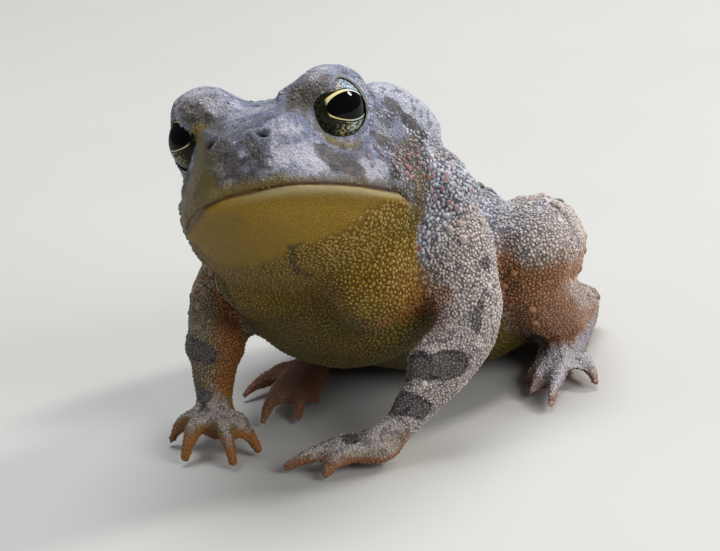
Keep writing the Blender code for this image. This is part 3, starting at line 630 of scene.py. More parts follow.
# %% Folds of throat, chest and snout, and the loose skin between them
FACE_FOLDS = (
    (0.22, 0.9, (2.3, -6.2, -12.2), (5.6, -4.4, -12.1), (8.6, -1.8, -11.6), (11.2, 2.6, -11.2)),
    (-0.16, 0.45, (-1.5, -10.9, -8.6), (-3.4, -9.8, -9.4), (-4.3, -8.4, -10.4), (-4.6, -6.4, -11.6)),
    (0.16, 0.5, (-1.0, -9.9, -0.4), (-2.2, -11.6, -2.5), (-3.2, -11.4, -3.6), (-5.0, -10.5, -5.3)),
)
CHEST_FOLD = (
    (-8.4, -9.8, 14.0), (-4.6, -12.6, 14.8), (0.6, -12.9, 15.6),
    (5.4, -12.4, 15.3), (8.6, -10.8, 14.0), (10.4, -8.2, 12.8),
)
for s in (1, -1):
    armpit = ((s * 9.6 + 0.4, -9.6, 14.2), (s * 10.6 + 0.4, -7.2, 12.6), (s * 11.4 + 0.4, -6.2, 12.0))
    lift -= 0.30 * along(points, *armpit, radius=0.7)
lift -= 0.28 * along(points, *CHEST_FOLD, radius=0.8)
for height, radius, *path in FACE_FOLDS:
    lift += height * along_face(points, *path, radius=radius)
calm_places = smooth(0.0, -0.3, below) * before
loose = 0.16 * (wander(points, 2.2, 5) - 0.5) + 0.10 * (wander(points, 0.9, 6) - 0.5)
lift += loose * (1 - 0.6 * calm_places)
print("loose skin varies by", round(float(np.ptp(loose)), 2), "mm")

# %% Draw the left forearm in and move the points
FOREARM_INNER = ((11.4, -9.4, 11.6), (9.7, -11.0, 8.4), (8.6, -12.8, 5.8))
FOREARM_OUTER = ((17.9, -6.4, 13.6), (16.6, -8.6, 11.8), (15.0, -10.6, 8.6), (13.2, -12.0, 5.6))
ROOM_FOR_GRANULES = 0.08
lift -= 0.75 * along(points, *FOREARM_INNER, radius=2.0) + 0.55 * along(points, *FOREARM_OUTER, radius=1.8)
lift -= ROOM_FOR_GRANULES
points = points + normals * lift[:, None]
points[:, 2] = np.maximum(points[:, 2], 0.0)
put(skin_mesh, points)
nose = inside_frame(HEAD, points)
print("moved by", round(lift.min(), 2), "to", round(lift.max(), 2), "mm")

# %% [markdown]
# ## Joints of the digits
# A toad's fingers and toes thin out towards round tips, with a small swelling at each joint.
# They could be modelled one by one. Here each digit is a straight line from its wrist to its
# tip, and the same swellings and dents are laid along every line. At the end the whole skin is
# kept a granule's height inside the solids' box, because the granules stand proud of it.

# %% Joints and tips
GRANULE_HEIGHT = 0.25
TIP_HEIGHT = 0.75
WRISTS = {
    "hand_left": (9.2, -14.2, 2.2), "hand_right": (-10.4, -13.2, 2.2),
    "foot_left": (14.4, 15.4, 1.4), "foot_right": (-11.0, 6.2, 1.4),
}
TIPS = {
    "hand_left": ((4, -11.6), (2.3, -14.8), (1.4, -18.6), (6.2, -19.2)),
    "hand_right": ((-4.2, -15.2), (-4.7, -18.9), (-10.4, -18.9), (-14.9, -14.6)),
    "foot_left": ((12.4, 12.2), (13.2, 9.0), (15.2, 6.0), (18.8, 3.2), (20.6, 9.8)),
    "foot_right": ((-7.4, 2.2), (-6.0, -1.4), (-5.0, -6.4), (-8.2, -8.2), (-14.6, -1.6)),
}
normals = array_of(skin_mesh, "normal")
lift, ends = np.zeros(len(points)), np.zeros(len(points))
for name, tips in TIPS.items():
    for tip in tips:
        tip = np.array((*tip, TIP_HEIGHT))
        inward = np.array(WRISTS[name]) - tip
        lift -= 0.10 * near(points, tip + inward / np.linalg.norm(inward) * 0.7, 0.9)
        lift += 0.10 * near(points, tip + inward * 0.38, 0.7)
        lift -= 0.12 * near(points, tip + inward * 0.20, 0.6)
        lift -= 0.10 * along(points, tip, tip + inward * 0.6, radius=1.1)
        ends = np.maximum(ends, near(points, tip, 0.85))
points = points + normals * lift[:, None]
for _ in range(9):
    points = averaged(points, edges, 0.5, ends)
box_low, box_high = np.array(cad_box) * 1000 + shift
points[:, :2] = np.clip(points[:, :2], box_low[:2] + GRANULE_HEIGHT, box_high[:2] - GRANULE_HEIGHT)
points[:, 2] = np.maximum(points[:, 2], 0.0)
put(skin_mesh, points)
print("digits:", len(TIPS) * 4 + 2, "tips rounded")

# %% [markdown]
# ## Where each colour and each wart belongs
# The markings are painted as numbers on the skin's points, one layer for each: belly and throat,
# slate bands and streaks, pale and worn places, warm, brown, olive and tan ones, the painted shade
# of the lower face and the right arm, the lips and the pale rims of the lids, partly painted light.
# A painted picture could be wrapped round the toad instead, but it would stretch at the folds. The
# granules take the same numbers from the skin that they grow on, so skin and granules always agree.

# %% Name the part that each point of the skin belongs to
tree = BVHTree.FromPolygons(cad_points, cad_faces)
owner = np.array([cad_owner[tree.find_nearest(Vector(p))[2]] for p in points])


def part(*starts):
    """1 on the named parts, with a soft border."""
    weight = np.array([name.startswith(starts) for name in owner], float)
    for _ in range(10):
        weight = averaged(weight, edges, 0.7)
    return weight


def uneven(size, seed):
    """Soft unevenness from -0.5 to 0.5, to keep borders from running straight."""
    return wander(points, size, seed) - 0.5


def blots(places):
    """Soft blots in the head's frame, given as (place, radius, strength), added up."""
    return sum(strength * near(nose, place, radius) for place, radius, strength in places)


def tell(name, values):
    """Prints how much of the skin's points a layer covers."""
    print(f"{name}: {100 * (values > 0.5).mean():.1f} % of the points")


normals = array_of(skin_mesh, "normal")
head, torso = part("head", "lower_jaw", "tympanum"), part("torso")
gland, upper_arm, forearm = part("parotoid"), part("upper_arm"), part("forearm")
hand, thigh, shank, foot = part("hand", "finger"), part("thigh"), part("shank"), part("foot", "toe")
print("parts found:", len(set(owner)))

# %% [markdown]
# The yellow of the throat runs on over chest and belly. Its border follows the line of the
# mouth, the groove behind the jaw and then the flank, so it is found from those three lines.
# The yellow is partly the toad's own and partly painted warm light reflected from below, and the
# belly under the chest fold is darker, partly as painted shade.

# %% Face, throat, chest and belly
TRUNK = np.array([
    (-13, 28, 17), (-9, 30, 11.5), (-4, 31, 6), (2, 29, 3.4), (8, 24.6, 0.7),
    (15, 20, -0.4), (22, 15.6, -0.4), (28, 11.2, 0.1), (32, 7.2, 2),
])
GROOVE = np.array([
    (-24, 13.5), (-21.5, 12.6), (-19.6, 11.0), (-17.6, 8.6), (-16.4, 7.6), (-14.6, 6.9),
    (-12.8, 6.6), (-11.2, 7.4), (-9.6, 8.1), (-5.4, 8.3), (-3.5, 9.2), (0, 10.5),
])
THROAT_FOLD = np.array([
    (-12, 2.0), (-5, -1.9), (0, -4.4), (2.5, -5.5), (5.5, -4.1), (8.2, -2.0), (11.2, 2.6),
])
x, y, z = points.T
nx, ny, nz = normals.T
nose_x, nose_y, nose_z = nose.T
arm, leg = upper_arm + forearm, thigh + shank
facing_down = smooth(0.25, -0.55, nz)
top, bottom = (np.interp(y, TRUNK[:, 0], TRUNK[:, k]) for k in (1, 2))
height = (z - bottom) / (top - bottom) + 0.16 * uneven(3.5, 1)
below = nose_z - mouth_height(nose)
before = smooth(MOUTH_CORNER_Y + 0.9, MOUTH_CORNER_Y - 0.6, nose_y)
core = np.clip(head + torso, 0, 1)
nape = 0.35 + 2.4 * smooth(-1.5, 1.0, nose_z)
groove_y = np.interp(nose_z, *GROOVE.T) - 1.2 * uneven(1.1, 61) * (nape > 0.5)
face = core * (1 - smooth(-1.0, 1.0, (nose_y - groove_y) / nape))
edge = np.where(nose_y < MOUTH_CORNER_Y, mouth_height(nose), -10.15 - 0.5 * (nose_y - MOUTH_CORNER_Y))
softness = 0.12 + 0.9 * smooth(2.6, 4.6, nose_y)
under_head = smooth(softness, -softness, nose_z - edge + 0.5 * uneven(0.8, 41) * (softness > 0.2))
crown = face * (1 - under_head)
chest = face * under_head
belly = np.clip(torso * (1 - face) * smooth(0.50, 0.26, height) + chest, 0, 1)
throat = chest * smooth(13.2, 16.5, z + 1.2 * uneven(2.5, 42))
inner_arm = arm * smooth(-0.1, 0.65, -np.sign(x) * nx) * smooth(0.75, 0.1, -ny)
belly = np.maximum(belly, 0.35 * inner_arm)
back = torso * (1 - belly)
granular = smooth(-0.9, 0.9, nose_y - np.interp(nose_x, *THROAT_FOLD.T))
tell("belly", belly)

# %% Lips and the line of the mouth
band = 1 - 0.25 * smooth(-4.0, 3.0, nose_y)
lip = before * head * smooth(-1.15, -0.40, below / band) * smooth(-0.05, -0.2, below)
lip *= smooth(4.4, 2.8, nose_y) * smooth(-9.5, -5.0, nose_x + 0.3 * nose_y)
lip_left = smooth(-1.5, 5.0, nose_x - 0.15 * nose_y)
mouth_line = before * head * ring(below, 0.0, 0.20)
right_half = smooth(2.0, -4.0, nose_x - 0.2 * nose_y)
olive_share = 0.45 + 0.35 * smooth(6.5, 2.5, nose_x) + 0.2 * right_half
upper_lip = before * head * (below > 0) * ring(below, 0.0, 1.2 + 1.6 * right_half) * olive_share
tell("lip", lip)

# %% [markdown]
# Dark marks come in three kinds: mottled streaks on the face, ink-edged bands across the limbs,
# and two rows of blots down the back. Each is a short path with a radius that wanders, which
# looks grown where a plain circle would look printed.

# %% Streaks of the face, as (radius, strength, places in the head's frame)
STREAKS = (
    (2.0, 0.5, (13.4, 8.2, -10.6), (13.9, 9.1, -11.5), (14.2, 8.6, -12.9)),
    (0.7, 0.55, (-1.6, -9.6, -0.8), (-0.8, -10.4, -1.4)),
    (0.9, 0.45, (9.0, 0.8, -5.6), (9.8, 2.6, -6.4)),
    (0.5, 0.45, (3.4, -10.6, -3.0), (4.2, -10.2, -3.6)),
    (0.5, 0.5, (6.0, -8.4, -2.6), (6.6, -7.6, -2.9)),
    (0.6, 1.15, (-1.3, -11.3, -1.5), (-0.4, -12.2, -3.5)),
    (0.5, 1.0, (1.5, -11.6, -1.9), (2.2, -12.0, -3.5)),
    (0.6, 1.1, (-2.7, -12.0, -4.9), (-2.8, -11.9, -4.4)),
    (0.55, 1.0, (-3.4, -11.1, -3.4), (-3.3, -11.3, -2.4)),
    (0.35, 0.7, (-0.2, -12.2, -4.6), (0.3, -12.2, -4.9)),
    (0.35, 0.6, (2.2, -12.0, -4.2), (2.9, -11.8, -4.6)),
    (0.55, 1.0, (7.2, -6.4, -4.3), (7.6, -7.1, -5.7)),
    (0.75, 1.0, (8.0, -5.8, -5.3), (8.9, -4.6, -6.5)), (0.5, 0.9, (10.7, 0.9, -7.5), (10.9, 1.6, -7.0)),
    (0.5, 0.9, (4.2, -4.4, 0.8), (5.0, -4.6, 0.2)), (0.9, 0.75, (-4.7, -3.7, 1.3), (-1.9, -8.9, 0.0)),
    (0.55, 0.8, (-0.8, -11.3, -1.6), (-0.9, -12.3, -4.2)),
    (0.6, 0.7, (1.9, -11.8, -2.4), (2.3, -12.0, -4.0)), (0.5, 0.6, (2.9, -9.2, 0.0), (3.7, -8.4, 0.2)),
    (0.4, 0.8, (-2.6, -12.0, -5.1), (-3.3, -11.4, -5.1)),
    (0.35, 0.9, (-6.0, -8.9, -4.0), (-6.6, -9.4, -6.6)),
    (0.35, 0.8, (-6.9, -7.4, -4.4), (-7.6, -7.4, -6.6)),
    (1.0, 1.0, (7.0, -6.9, -4.0), (7.5, -6.8, -5.0), (8.5, -5.4, -5.8)),
    (0.9, 1.0, (8.2, -5.8, -5.4), (9.1, -4.3, -6.3)), (0.4, 0.8, (8.9, -5.0, -7.2), (9.2, -4.2, -7.2)),
    (0.6, 0.9, (10.7, 1.0, -7.5), (11.0, 1.7, -7.5)), (1.1, 0.6, (9.2, 2.0, -3.4), (9.8, 3.4, -4.2)),
    (0.75, 1.0, (8.2, 8.8, 0.4), (9.7, 8.6, -0.6), (10.5, 10.3, -2.2), (11.3, 11.6, -3.9)),
    (0.7, 0.5, (3.6, -4.6, 1.0), (4.2, -6.6, 0.2)), (0.6, 0.6, (4.9, -10.0, -2.2), (5.6, -9.2, -3.4)),
    (0.8, 0.45, (-1.4, -8.8, 0.2), (-2.4, -10.6, -1.2)), (0.6, 0.7, (5.2, 9.9, 1.6), (6.6, 9.2, 1.2)),
    (0.5, 0.6, (-2.9, -10.9, -2.6), (-3.6, -10.6, -4.4)),
    (0.8, 0.5, (1.0, -4.0, 1.6), (-0.6, -1.0, 2.1)), (0.9, 0.6, (2.2, 3.0, 2.6), (4.2, 5.6, 2.8)),
)
slate, streak = np.zeros(len(points)), np.zeros(len(points))
for radius, strength, *path in STREAKS:
    blot = radius * (0.75 + 0.6 * wander(points, 0.8, 11))
    found = along_face(points, *path, radius=blot)
    if path[0][0] > 4:
        mirrored = [(-a, b + 0.5, c + 0.2) for a, b, c in path]
        found = np.maximum(found, along_face(points, *mirrored, radius=blot))
    streak = np.maximum(streak, strength * found * (1 - under_head))
tell("streaks", streak)

# %% Bands of the limbs, as (start, end, radius)
BANDS = (
    ((11.0, -10.9, 8.9), (13.4, -11.3, 9.5), 1.15), ((13.4, -11.3, 9.5), (16.3, -9.7, 9.3), 1.3),
    ((9.4, -12.7, 5.7), (11.3, -12.8, 6.2), 1.05), ((11.3, -12.8, 6.2), (13.4, -12.1, 5.4), 1.15),
    ((6.4, -14.9, 3.3), (7.6, -16.2, 3.2), 0.7), ((10.4, -10.4, 8.4), (10.5, -10.5, 8.3), 0.32),
    ((9.4, -10.8, 7.9), (9.5, -10.8, 8.0), 0.32), ((12.6, -11.6, 8.3), (12.8, -11.6, 8.4), 0.28),
    ((17.6, -7.2, 12.4), (17.0, -5.6, 14.6), 0.55), ((17.2, -3.8, 17.6), (14.6, -1.4, 19.4), 0.6),
    ((15.9, -8.5, 13.2), (16.9, -8.4, 12.2), 0.4), ((14.3, -7.6, 17.2), (14.7, -8.2, 15.4), 0.15),
    ((15.3, -7.4, 16.4), (15.6, -8.0, 14.6), 0.13), ((13.4, -8.0, 16.2), (14.0, -8.6, 14.4), 0.13),
    ((4.8, -17.0, 1.9), (5.2, -17.2, 1.9), 0.36), ((3.1, -15.2, 1.7), (3.4, -15.1, 1.8), 0.3),
    ((7.9, -14.2, 3.6), (8.1, -14.0, 3.6), 0.3), ((-9.0, -15.2, 2.6), (-8.4, -16.2, 2.2), 0.26),
    ((-12.0, -14.4, 2.6), (-12.8, -14.3, 2.2), 0.26), ((-14.4, -10.4, 9.8), (-11.6, -11.8, 9.0), 1.15),
    ((-13.8, -11.8, 5.6), (-11.4, -12.9, 4.9), 0.7), ((-11.4, -14.0, 4.2), (-10.2, -14.6, 4.2), 0.4),
    ((-15.6, -7.0, 13.4), (-14.0, -4.6, 15.4), 0.6),
)
for start, end, width in BANDS:
    reach = along(points, start, end, radius=width * (0.8 + 0.5 * wander(points, 0.9, 12)))
    inside = smooth(0.28, 0.42, reach)
    slate = np.maximum(slate, (0.62 + 0.38 * ring(reach, 0.40, 0.16)) * inside * (arm + hand))
thigh_top = thigh * (1 - facing_down) * smooth(10.5, 14.0, y)
for share in (0.10, 0.30):
    for side in (1, -1):
        place = np.array((4.6 + 11.4 * share, 26.6 - 18.6 * share, 9.2 + 5.6 * share))
        reach = (points - place * (side, 1, 1)) @ (np.array((11.4 * side, -18.6, 5.6)) / 22.5)
        blot = 0.6 + 0.9 * wander(points, 1.5, 13)
        slate = np.maximum(slate, 0.6 * ring(reach, 0.0, blot) * thigh_top)
tell("bands", slate)

# %% Two rows of blots down the back


def blot_place(row, side):
    return side * (3.2 + 0.8 * (row % 2)), 1.0 + 4.6 * row


BLOT_ROWS = 6
random = np.random.default_rng(7)
for row in range(BLOT_ROWS):
    for side in (1, -1):
        place = np.array((*blot_place(row, side), 0.0)) + random.normal(0, 0.4, 3)
        reach = np.linalg.norm((points - place)[:, :2] * (1, 0.8), axis=1)
        reach /= 2.3 * (0.45 + 1.0 * wander(points, 1.7, 14))
        shape = smooth(1.0, 0.85, reach) * torso * smooth(0.55, 0.8, height)
        slate = np.maximum(slate, (0.66 + 0.3 * ring(reach, 0.85, 0.12)) * shape)
slate = np.clip(slate, 0, 1)
tell("bands and blots", slate)

# %% Soot-coloured marks and dots of the throat and lip
THROAT_MARKS = (
    (
        0.55, 1.0, (1.5, -6.0, -12.0), (1.1, -4.6, -12.7), (0.2, -2.4, -13.7), (0.0, 0.0, -14.6),
        (0.6, 1.6, -15.1)
    ),
    (0.5, 0.9, (2.4, -6.0, -12.1), (1.3, -5.4, -12.3)),
    (0.28, 0.75, (-5.6, -4.6, -11.8), (-5.1, -2.0, -13.2)),
    (0.2, 0.45, (-3.2, -9.6, -9.2), (-4.4, -8.0, -10.4)),
    (0.2, 0.4, (-3.4, -11.0, -8.3), (-1.8, -11.6, -7.9)),
)
DOTS = (
    (-1.7, -12.1, -7.6), (-3.7, -10.9, -8.1), (-6.4, -7.6, -9.1), (5.6, -10.3, -7.4), (9.8, -2.1, -8.5),
    (-5.8, -9.2, -7.9), (-5.0, -10.0, -7.6), (-4.2, -10.7, -7.4), (-3.4, -11.2, -7.2),
    (-0.6, -12.1, -6.9),
)
mark = np.zeros(len(points))
for radius, strength, *path in THROAT_MARKS:
    blot = radius * (0.7 + 0.7 * wander(points, 0.7, 21))
    mark = np.maximum(mark, strength * along_face(points, *path, radius=blot))
for place in DOTS:
    mark = np.maximum(mark, near(points, on_head(*place), 0.24))
tell("throat marks", mark)

# %% [markdown]
# The ground colour is broken up by large soft places: bone-pale on gland, flank and limbs, worn
# and chalky on the snout, warm where light shines through thin skin, brown and olive round the
# eyes and the mouth. Most of them belong to a part, and the rest are blots with a place. Some are
# painted light and shade: upward faces of hands and thighs are paler, and the toad's right arm
# and foot are darker, warmer and more olive.

# %% Pale places
stripe = ring(x, 0.4, 0.5) * torso * smooth(0.5, 0.85, height)
back_top = back * (1 - face) * smooth(0.35, 0.85, nz)
# Upward faces of thighs, hands and the left foot are paler, partly their own colour and partly painted light
# from above. The left forearm is paler than the right one, as painted light.
pale = 0.8 * gland + 0.75 * stripe + 0.35 * thigh * smooth(0.0, 0.7, nz)
pale += 0.5 * (hand + foot * (x > 0)) * smooth(-0.1, 0.6, nz)
pale += ((0.40 + 0.30 * (x > 0)) * forearm + 0.55 * upper_arm) * (1 - inner_arm)
pale += (back * (1 - face) - 0.7 * back_top) * (0.35 + 0.45 * smooth(12.0, 4.0, nose_y + nose_z))
pale += blots(((s * 6.2, 0.4, 4.0), (3.0, 3.6, 1.6), 0.35) for s in (1, -1))
pale += blots([((9.6, 4.4, -2.6), (1.6, 2.4, 3.0), 0.3)])
pale += 0.6 * along(points, (13.2, -6.8, 23.0), (13.6, -6.9, 20.5), (14.0, -7.0, 18.0), radius=0.8)
pale += 0.8 * hand * (x < 0) * smooth(0.35, 0.85, nz) + 0.5 * foot * (x > 0) * smooth(0.3, 0.8, nz)
PALE_BLOTS = (
    ((5.6, -9.2, -4.1), 1.3, 0.75), ((6.6, -8.4, -5.0), 1.2, 0.75), ((4.1, -10.9, -3.9), 1.0, 0.4),
    ((9.6, -2.4, -6.4), 1.1, 0.75), ((10.3, 0.3, -6.2), 0.9, 0.6), ((-5.6, -8.6, -4.6), 1.0, 0.4),
    ((-16.4, 14.1, -16.6), 1.6, 0.5), ((-16.2, 12.0, -22.4), 1.0, 0.4), ((4.1, -8.6, -1.0), 1.4, 0.35),
    ((0.4, -3.4, 1.4), 2.0, 0.3), ((-4.0, -2.6, 2.6), 1.5, 0.45), ((6.0, -2.0, 4.4), 2.0, 0.35),
    ((-6.4, -1.2, 4.6), 2.2, 0.4),
)
radius_share = (0.7 + 0.6 * wander(points, 1.0, 51))[:, None]
pale += blots((place, radius * radius_share, strength) for place, radius, strength in PALE_BLOTS)
pale = np.clip(pale, 0, 1)
tell("pale", pale)

# %% Worn, chalky places of the face
WORN_BLOTS = (
    ((5.6, -9.2, -4.1), 1.7, 1.0), ((6.4, -8.6, -4.9), 1.4, 1.0), ((4.1, -10.9, -3.6), 1.5, 0.8),
    ((2.9, -11.4, -4.4), 1.0, 0.75), ((9.6, -2.4, -6.4), 1.3, 1.0), ((10.3, -0.2, -6.3), 1.0, 0.9),
    ((0.6, -3.6, 1.4), 2.0, 0.75), ((-1.6, -4.4, 1.2), 1.4, 0.75), ((-3.8, -3.0, 2.4), 1.6, 0.7),
    ((0.0, 2.4, 2.4), 2.6, 0.7), ((3.2, -9.6, -1.4), 1.2, 0.55), ((4.3, -8.4, -1.0), 1.3, 0.6),
    ((-5.6, -8.6, -4.6), 1.0, 0.6), ((-1.2, -12.2, -5.2), 0.8, 0.6), ((0.8, -12.0, -2.6), 0.9, 0.6),
    ((6.0, -2.0, 4.4), 2.2, 0.6), ((-6.4, -1.2, 4.6), 2.4, 0.65), ((8.8, 1.2, 4.4), 2.2, 0.5),
    ((-5.0, -9.0, -1.4), 1.0, 0.5), ((10.2, 3.0, -1.6), 1.8, 0.5),
)
worn = np.zeros(len(points))
radius_share = (0.75 + 0.6 * wander(points, 1.1, 52))[:, None]
for place, radius, strength in WORN_BLOTS:
    worn = np.maximum(worn, strength * near(nose, place, radius * radius_share))
worn *= crown
tell("worn", worn)

# %% Warm places
leg_height = z + 1.6 * uneven(1.8, 43)
leg_front = smooth(0.35, -0.45, ny)
leg_side = 0.95 * leg * smooth(17.2, 11.8, leg_height) * (0.40 + 0.60 * leg_front)
tips = np.array([(*tip, TIP_HEIGHT) for row in TIPS.values() for tip in row])
nearest_tip = np.min(np.linalg.norm(points[:, None] - tips[None], axis=2), axis=1)
warm = 0.70 * (hand + foot) * smooth(0.15, -0.6, nz) + 1.0 * leg_side + 0.5 * leg * facing_down
warm += 0.75 * (hand + foot) * smooth(3.8, 0.4, nearest_tip) + 0.22 * (hand + foot)
# On the toad's right side the foot, the hand and the inner half of the arm turn warmer: painted warm light
# reflected into their shade.
warm += 0.6 * foot * (x < 0) + 0.7 * arm * (x < 0) * smooth(-12.4, -10.2, x) + 0.25 * hand * (x < 0)
for s in (1, -1):
    fold = ((s * 8.0 + 0.4, -10.6, 14.2), (s * 10.2 + 0.4, -7.4, 13.0), (s * 11.0 + 0.4, -5.6, 13.6))
    warm += 0.85 * along(points, *fold, radius=1.5)
    warm += 0.75 * near(points, (s * 12.0 + 0.5, -6.6, 14.0), (1.8, 2.2, 2.8))
    warm += 0.60 * chest * near(points, (s * 9.6 + 1, -10.0, 16.6), (3.4, 3.4, 4.2))
    warm += blots([((s * 11.7, 5.4, -10.0), (0.9, 0.9, 1.5), 0.35)])
    warm += 0.6 * near(points, (s * 14.6, -7.8, 15.6), 1.5)
    warm += 0.8 * near(points, (s * 14.6, 4.4, 14.6), (1.6, 2.0, 3.2))
hand_top = (hand + foot * (x > 0)) * smooth(0.30, 0.80, nz)
warm *= 1 - 0.75 * hand_top * (1 - 0.6 * smooth(4.0, 1.2, nearest_tip))
warm = np.clip(warm + 0.5 * inner_arm, 0, 1)
tell("warm", warm)

# %% Brown places
nape_top = crown * smooth(1.0, 5.0, nose_y) * smooth(0.3, 0.8, nz)
# The blots on the snout's front and before the eyes are partly painted shade.
BROWN_BLOTS = (
    ((-4.2, -7.6, -2.2), (2.4, 3.4, 2.4), 0.6), ((-1.0, -11.4, -3.4), (2.0, 2.0, 2.0), 0.35),
    ((-6.3, -3.0, 3.2), 2.0, 0.5), ((5.3, -3.6, 1.7), 1.8, 0.5), ((6.5, -2.8, 2.9), 1.8, 0.5),
    ((-4.4, -9.2, -3.6), 2.2, 0.5), ((11.6, 4.6, -6.2), 2.2, 0.55), ((-2.0, -11.4, -2.4), 1.4, 0.4),
)
brown = 0.18 + blots(BROWN_BLOTS)
for s in (1, -1):
    brown += blots([((s * 4.4, -4.2, 0.6), (1.5, 1.9, 1.8), 0.75)])
    brown += blots([((s * 4.0, -0.4, 3.0), (1.6, 3.0, 1.6), 0.35)])
brown += 0.6 * back_top + 0.5 * nape_top + 0.35 * torso * smooth(0.75, 0.4, height) + 0.3 * arm
brown = np.clip(brown, 0, 1) * (1 - 0.7 * gland)
tell("brown", brown)

# %% Olive, tan and shaded places
UNDER_EYE = ((5.3, -4.5, -0.3), (6.0, -4.7, -1.9), (7.0, -4.3, -3.1))
BEHIND_EYE = ((7.4, -4.2, -3.4), (8.2, -3.0, -4.0), (8.8, -1.6, -4.0))
JAW_CORNER = ((12.2, 5.6, -8.2), (11.3, 4.9, -10.4), (10.6, 5.4, -12.6))
INNER_LID = (
    (-5.5, -4.0, 0.5), (-4.6, -6.6, -0.4), (-4.1, -8.6, -0.9), (-3.9, -10.1, -2.1),
    (-4.5, -9.9, -3.1), (-5.4, -9.4, -4.6),
)
right_arm = (arm + hand) * (x < 0)
olive = upper_lip + 0.85 * along_face(points, *INNER_LID, radius=0.9)
olive += blots([((-3.6, -11.0, -3.8), (2.2, 2.4, 2.2), 0.5), ((-5.6, -8.8, -5.6), (2.2, 2.2, 1.6), 0.4)])
# shade is painted shade: it darkens the crown, less where it faces up to the light, the snout, the fronts of
# the brows, the cheeks under the eyes, the upper lip, the right arm and the right foot. On the shoulders it
# is partly a dark marking.
shade = 0.30 * crown * (1 - 0.6 * smooth(0.45, 0.9, nz)) + (0.5 + 0.5 * right_half) * upper_lip
shade += blots([((-0.3, -9.0, -0.6), (3.4, 2.8, 2.4), 0.6), ((0.0, -12.0, -3.6), (6.2, 3.4, 3.0), 0.75)])
shade += 0.55 * right_arm + 0.35 * foot * (x < 0)
for s in (1, -1):
    olive += 0.42 * along_face(points, *UNDER_EYE, radius=0.3 + 0.7 * wander(points, 0.8, 71), side=s)
    olive += 0.52 * along_face(points, *BEHIND_EYE, radius=0.4 + 0.9 * wander(points, 0.7, 72), side=s)
    olive += 0.55 * along_face(points, *JAW_CORNER, radius=1.5, side=s)
    shade += blots([((s * 5.2, -4.4, 1.6), (2.4, 2.2, 2.2), 0.8)])
    shade += blots([((s * 8.8, -5.4, -5.4), (3.0, 3.2, 2.0), 0.6)])
    shade += 0.35 * near(points, (s * 14.0, -2.0, 24.0), (2.2, 4.2, 2.6))
    shade += 0.35 * near(points, (s * 15.5, 3.0, 20.0), (4.0, 6.0, 4.0))
shade = np.clip(shade * (1 - chest * (1 - right_arm)), 0, 1)
# On the right arm the olive is painted shade with warm reflected light.
olive += (0.50 * right_arm + 0.35 * hand) * (1 - 0.85 * hand_top)
olive = np.clip(olive + 0.3 * thigh * smooth(18.0, 15.0, leg_height) * leg_front, 0, 1)
tan = 0.78 * arm + 0.8 * hand + 0.4 * foot + 0.9 * leg * smooth(22.0, 16.5, leg_height)
tan = np.clip(tan + (1 - gland) * face * blots([((11.9, 4.8, -7.6), (2.2, 3.2, 3.0), 0.5)]), 0, 1)
rusts = blots(((s * 12.0, 5.0, -7.0), (2.4, 4.5, 3.4), 0.9) for s in (1, -1))
rusts = np.clip(rusts + 0.6 * back, 0, 1)
for name, values in (("olive", olive), ("tan", tan), ("shade", shade), ("rusts", rusts)):
    tell(name, values)

# %% [markdown]
# The grain of the skin differs from place to place: smooth lips and throat, fine on the crown,
# coarse on the flanks and neck. Two layers hold how thick the granules stand and how large they
# are. A third marks the pale rims at the back of the lids, which have no granules; their paleness
# is partly their own and partly painted light over the shadow between lid and eyeball.

# %% Paint how dense and how large the granules are
cheek = crown * smooth(-0.5, 3.5, nose_y + 0.25 * (-4 - nose_z)) * smooth(-3.6, -5.4, nose_z)
bare = 0.97 * crown * (1 - cheek) * (1 - 0.5 * nape_top * smooth(2.0, 7.0, nose_y))
dense = 1 - bare - 0.9 * gland - 0.8 * (hand + foot)
dense = np.clip(dense, 0, 1) * (1 - chest * (1 - granular)) * (1 - lip) * (1 - mouth_line)
dense *= smooth(0.18, 0.42, z)
rim = np.zeros(len(points))
for side in (1, -1):
    local = inside_frame(gaze_frame(side), points)
    across, reach = np.hypot(local[:, 0], local[:, 1]), np.linalg.norm(local, axis=1)
    ahead = local[:, 2] > 0
    dense *= 1 - smooth(4.4, 3.4, across) * ahead
    rearward = smooth(-0.2, 1.4, side * local[:, 0] + 0.1 * local[:, 1])
    rim = np.maximum(rim, ahead * smooth(3.75, 3.50, reach) * rearward)
size = 0.75 + 0.34 * back + 0.15 * thigh
size += 0.25 * upper_arm - 0.05 * forearm - 0.1 * cheek + 0.45 * chest * smooth(0, 6, nose_x)
size -= 0.1 * torso * belly
tell("granules", dense)

# %% [markdown]
# ## Unwrap and hand over
# The unwrap gives every place on the skin a place on a flat sheet. The granules keep the place
# of their root on it.

# %% Unwrap the skin, store the layers and go over to metres
layers = {
    "belly": belly, "throat": throat, "lip": lip, "lip_left": lip_left, "mouth_line": mouth_line,
    "slate": slate
}
layers |= {
    "pale": pale, "warm": warm, "brown": brown, "olive": olive, "mark": mark, "nostril": nostril,
    "rusts": rusts
}
layers |= {
    "dense": dense, "size": size, "streak": streak, "tan": tan, "shade": shade, "rim": rim, "worn": worn
}
put(skin_mesh, (points - shift) * 0.001)
for name, values in layers.items():
    layer = skin_mesh.attributes.new(name, "FLOAT", "POINT")
    layer.data.foreach_set("value", values.astype(np.float32))
skin_mesh.shade_smooth()
bpy.context.view_layer.objects.active = skin
skin.select_set(True)
skin_mesh.uv_layers.new(name="unwrap")
bpy.ops.object.mode_set(mode="EDIT")
bpy.ops.mesh.select_all(action="SELECT")
bpy.ops.uv.smart_project(angle_limit=math.radians(72), island_margin=0.002)
bpy.ops.object.mode_set(mode="OBJECT")
skin.select_set(False)
print("skin unwrapped")

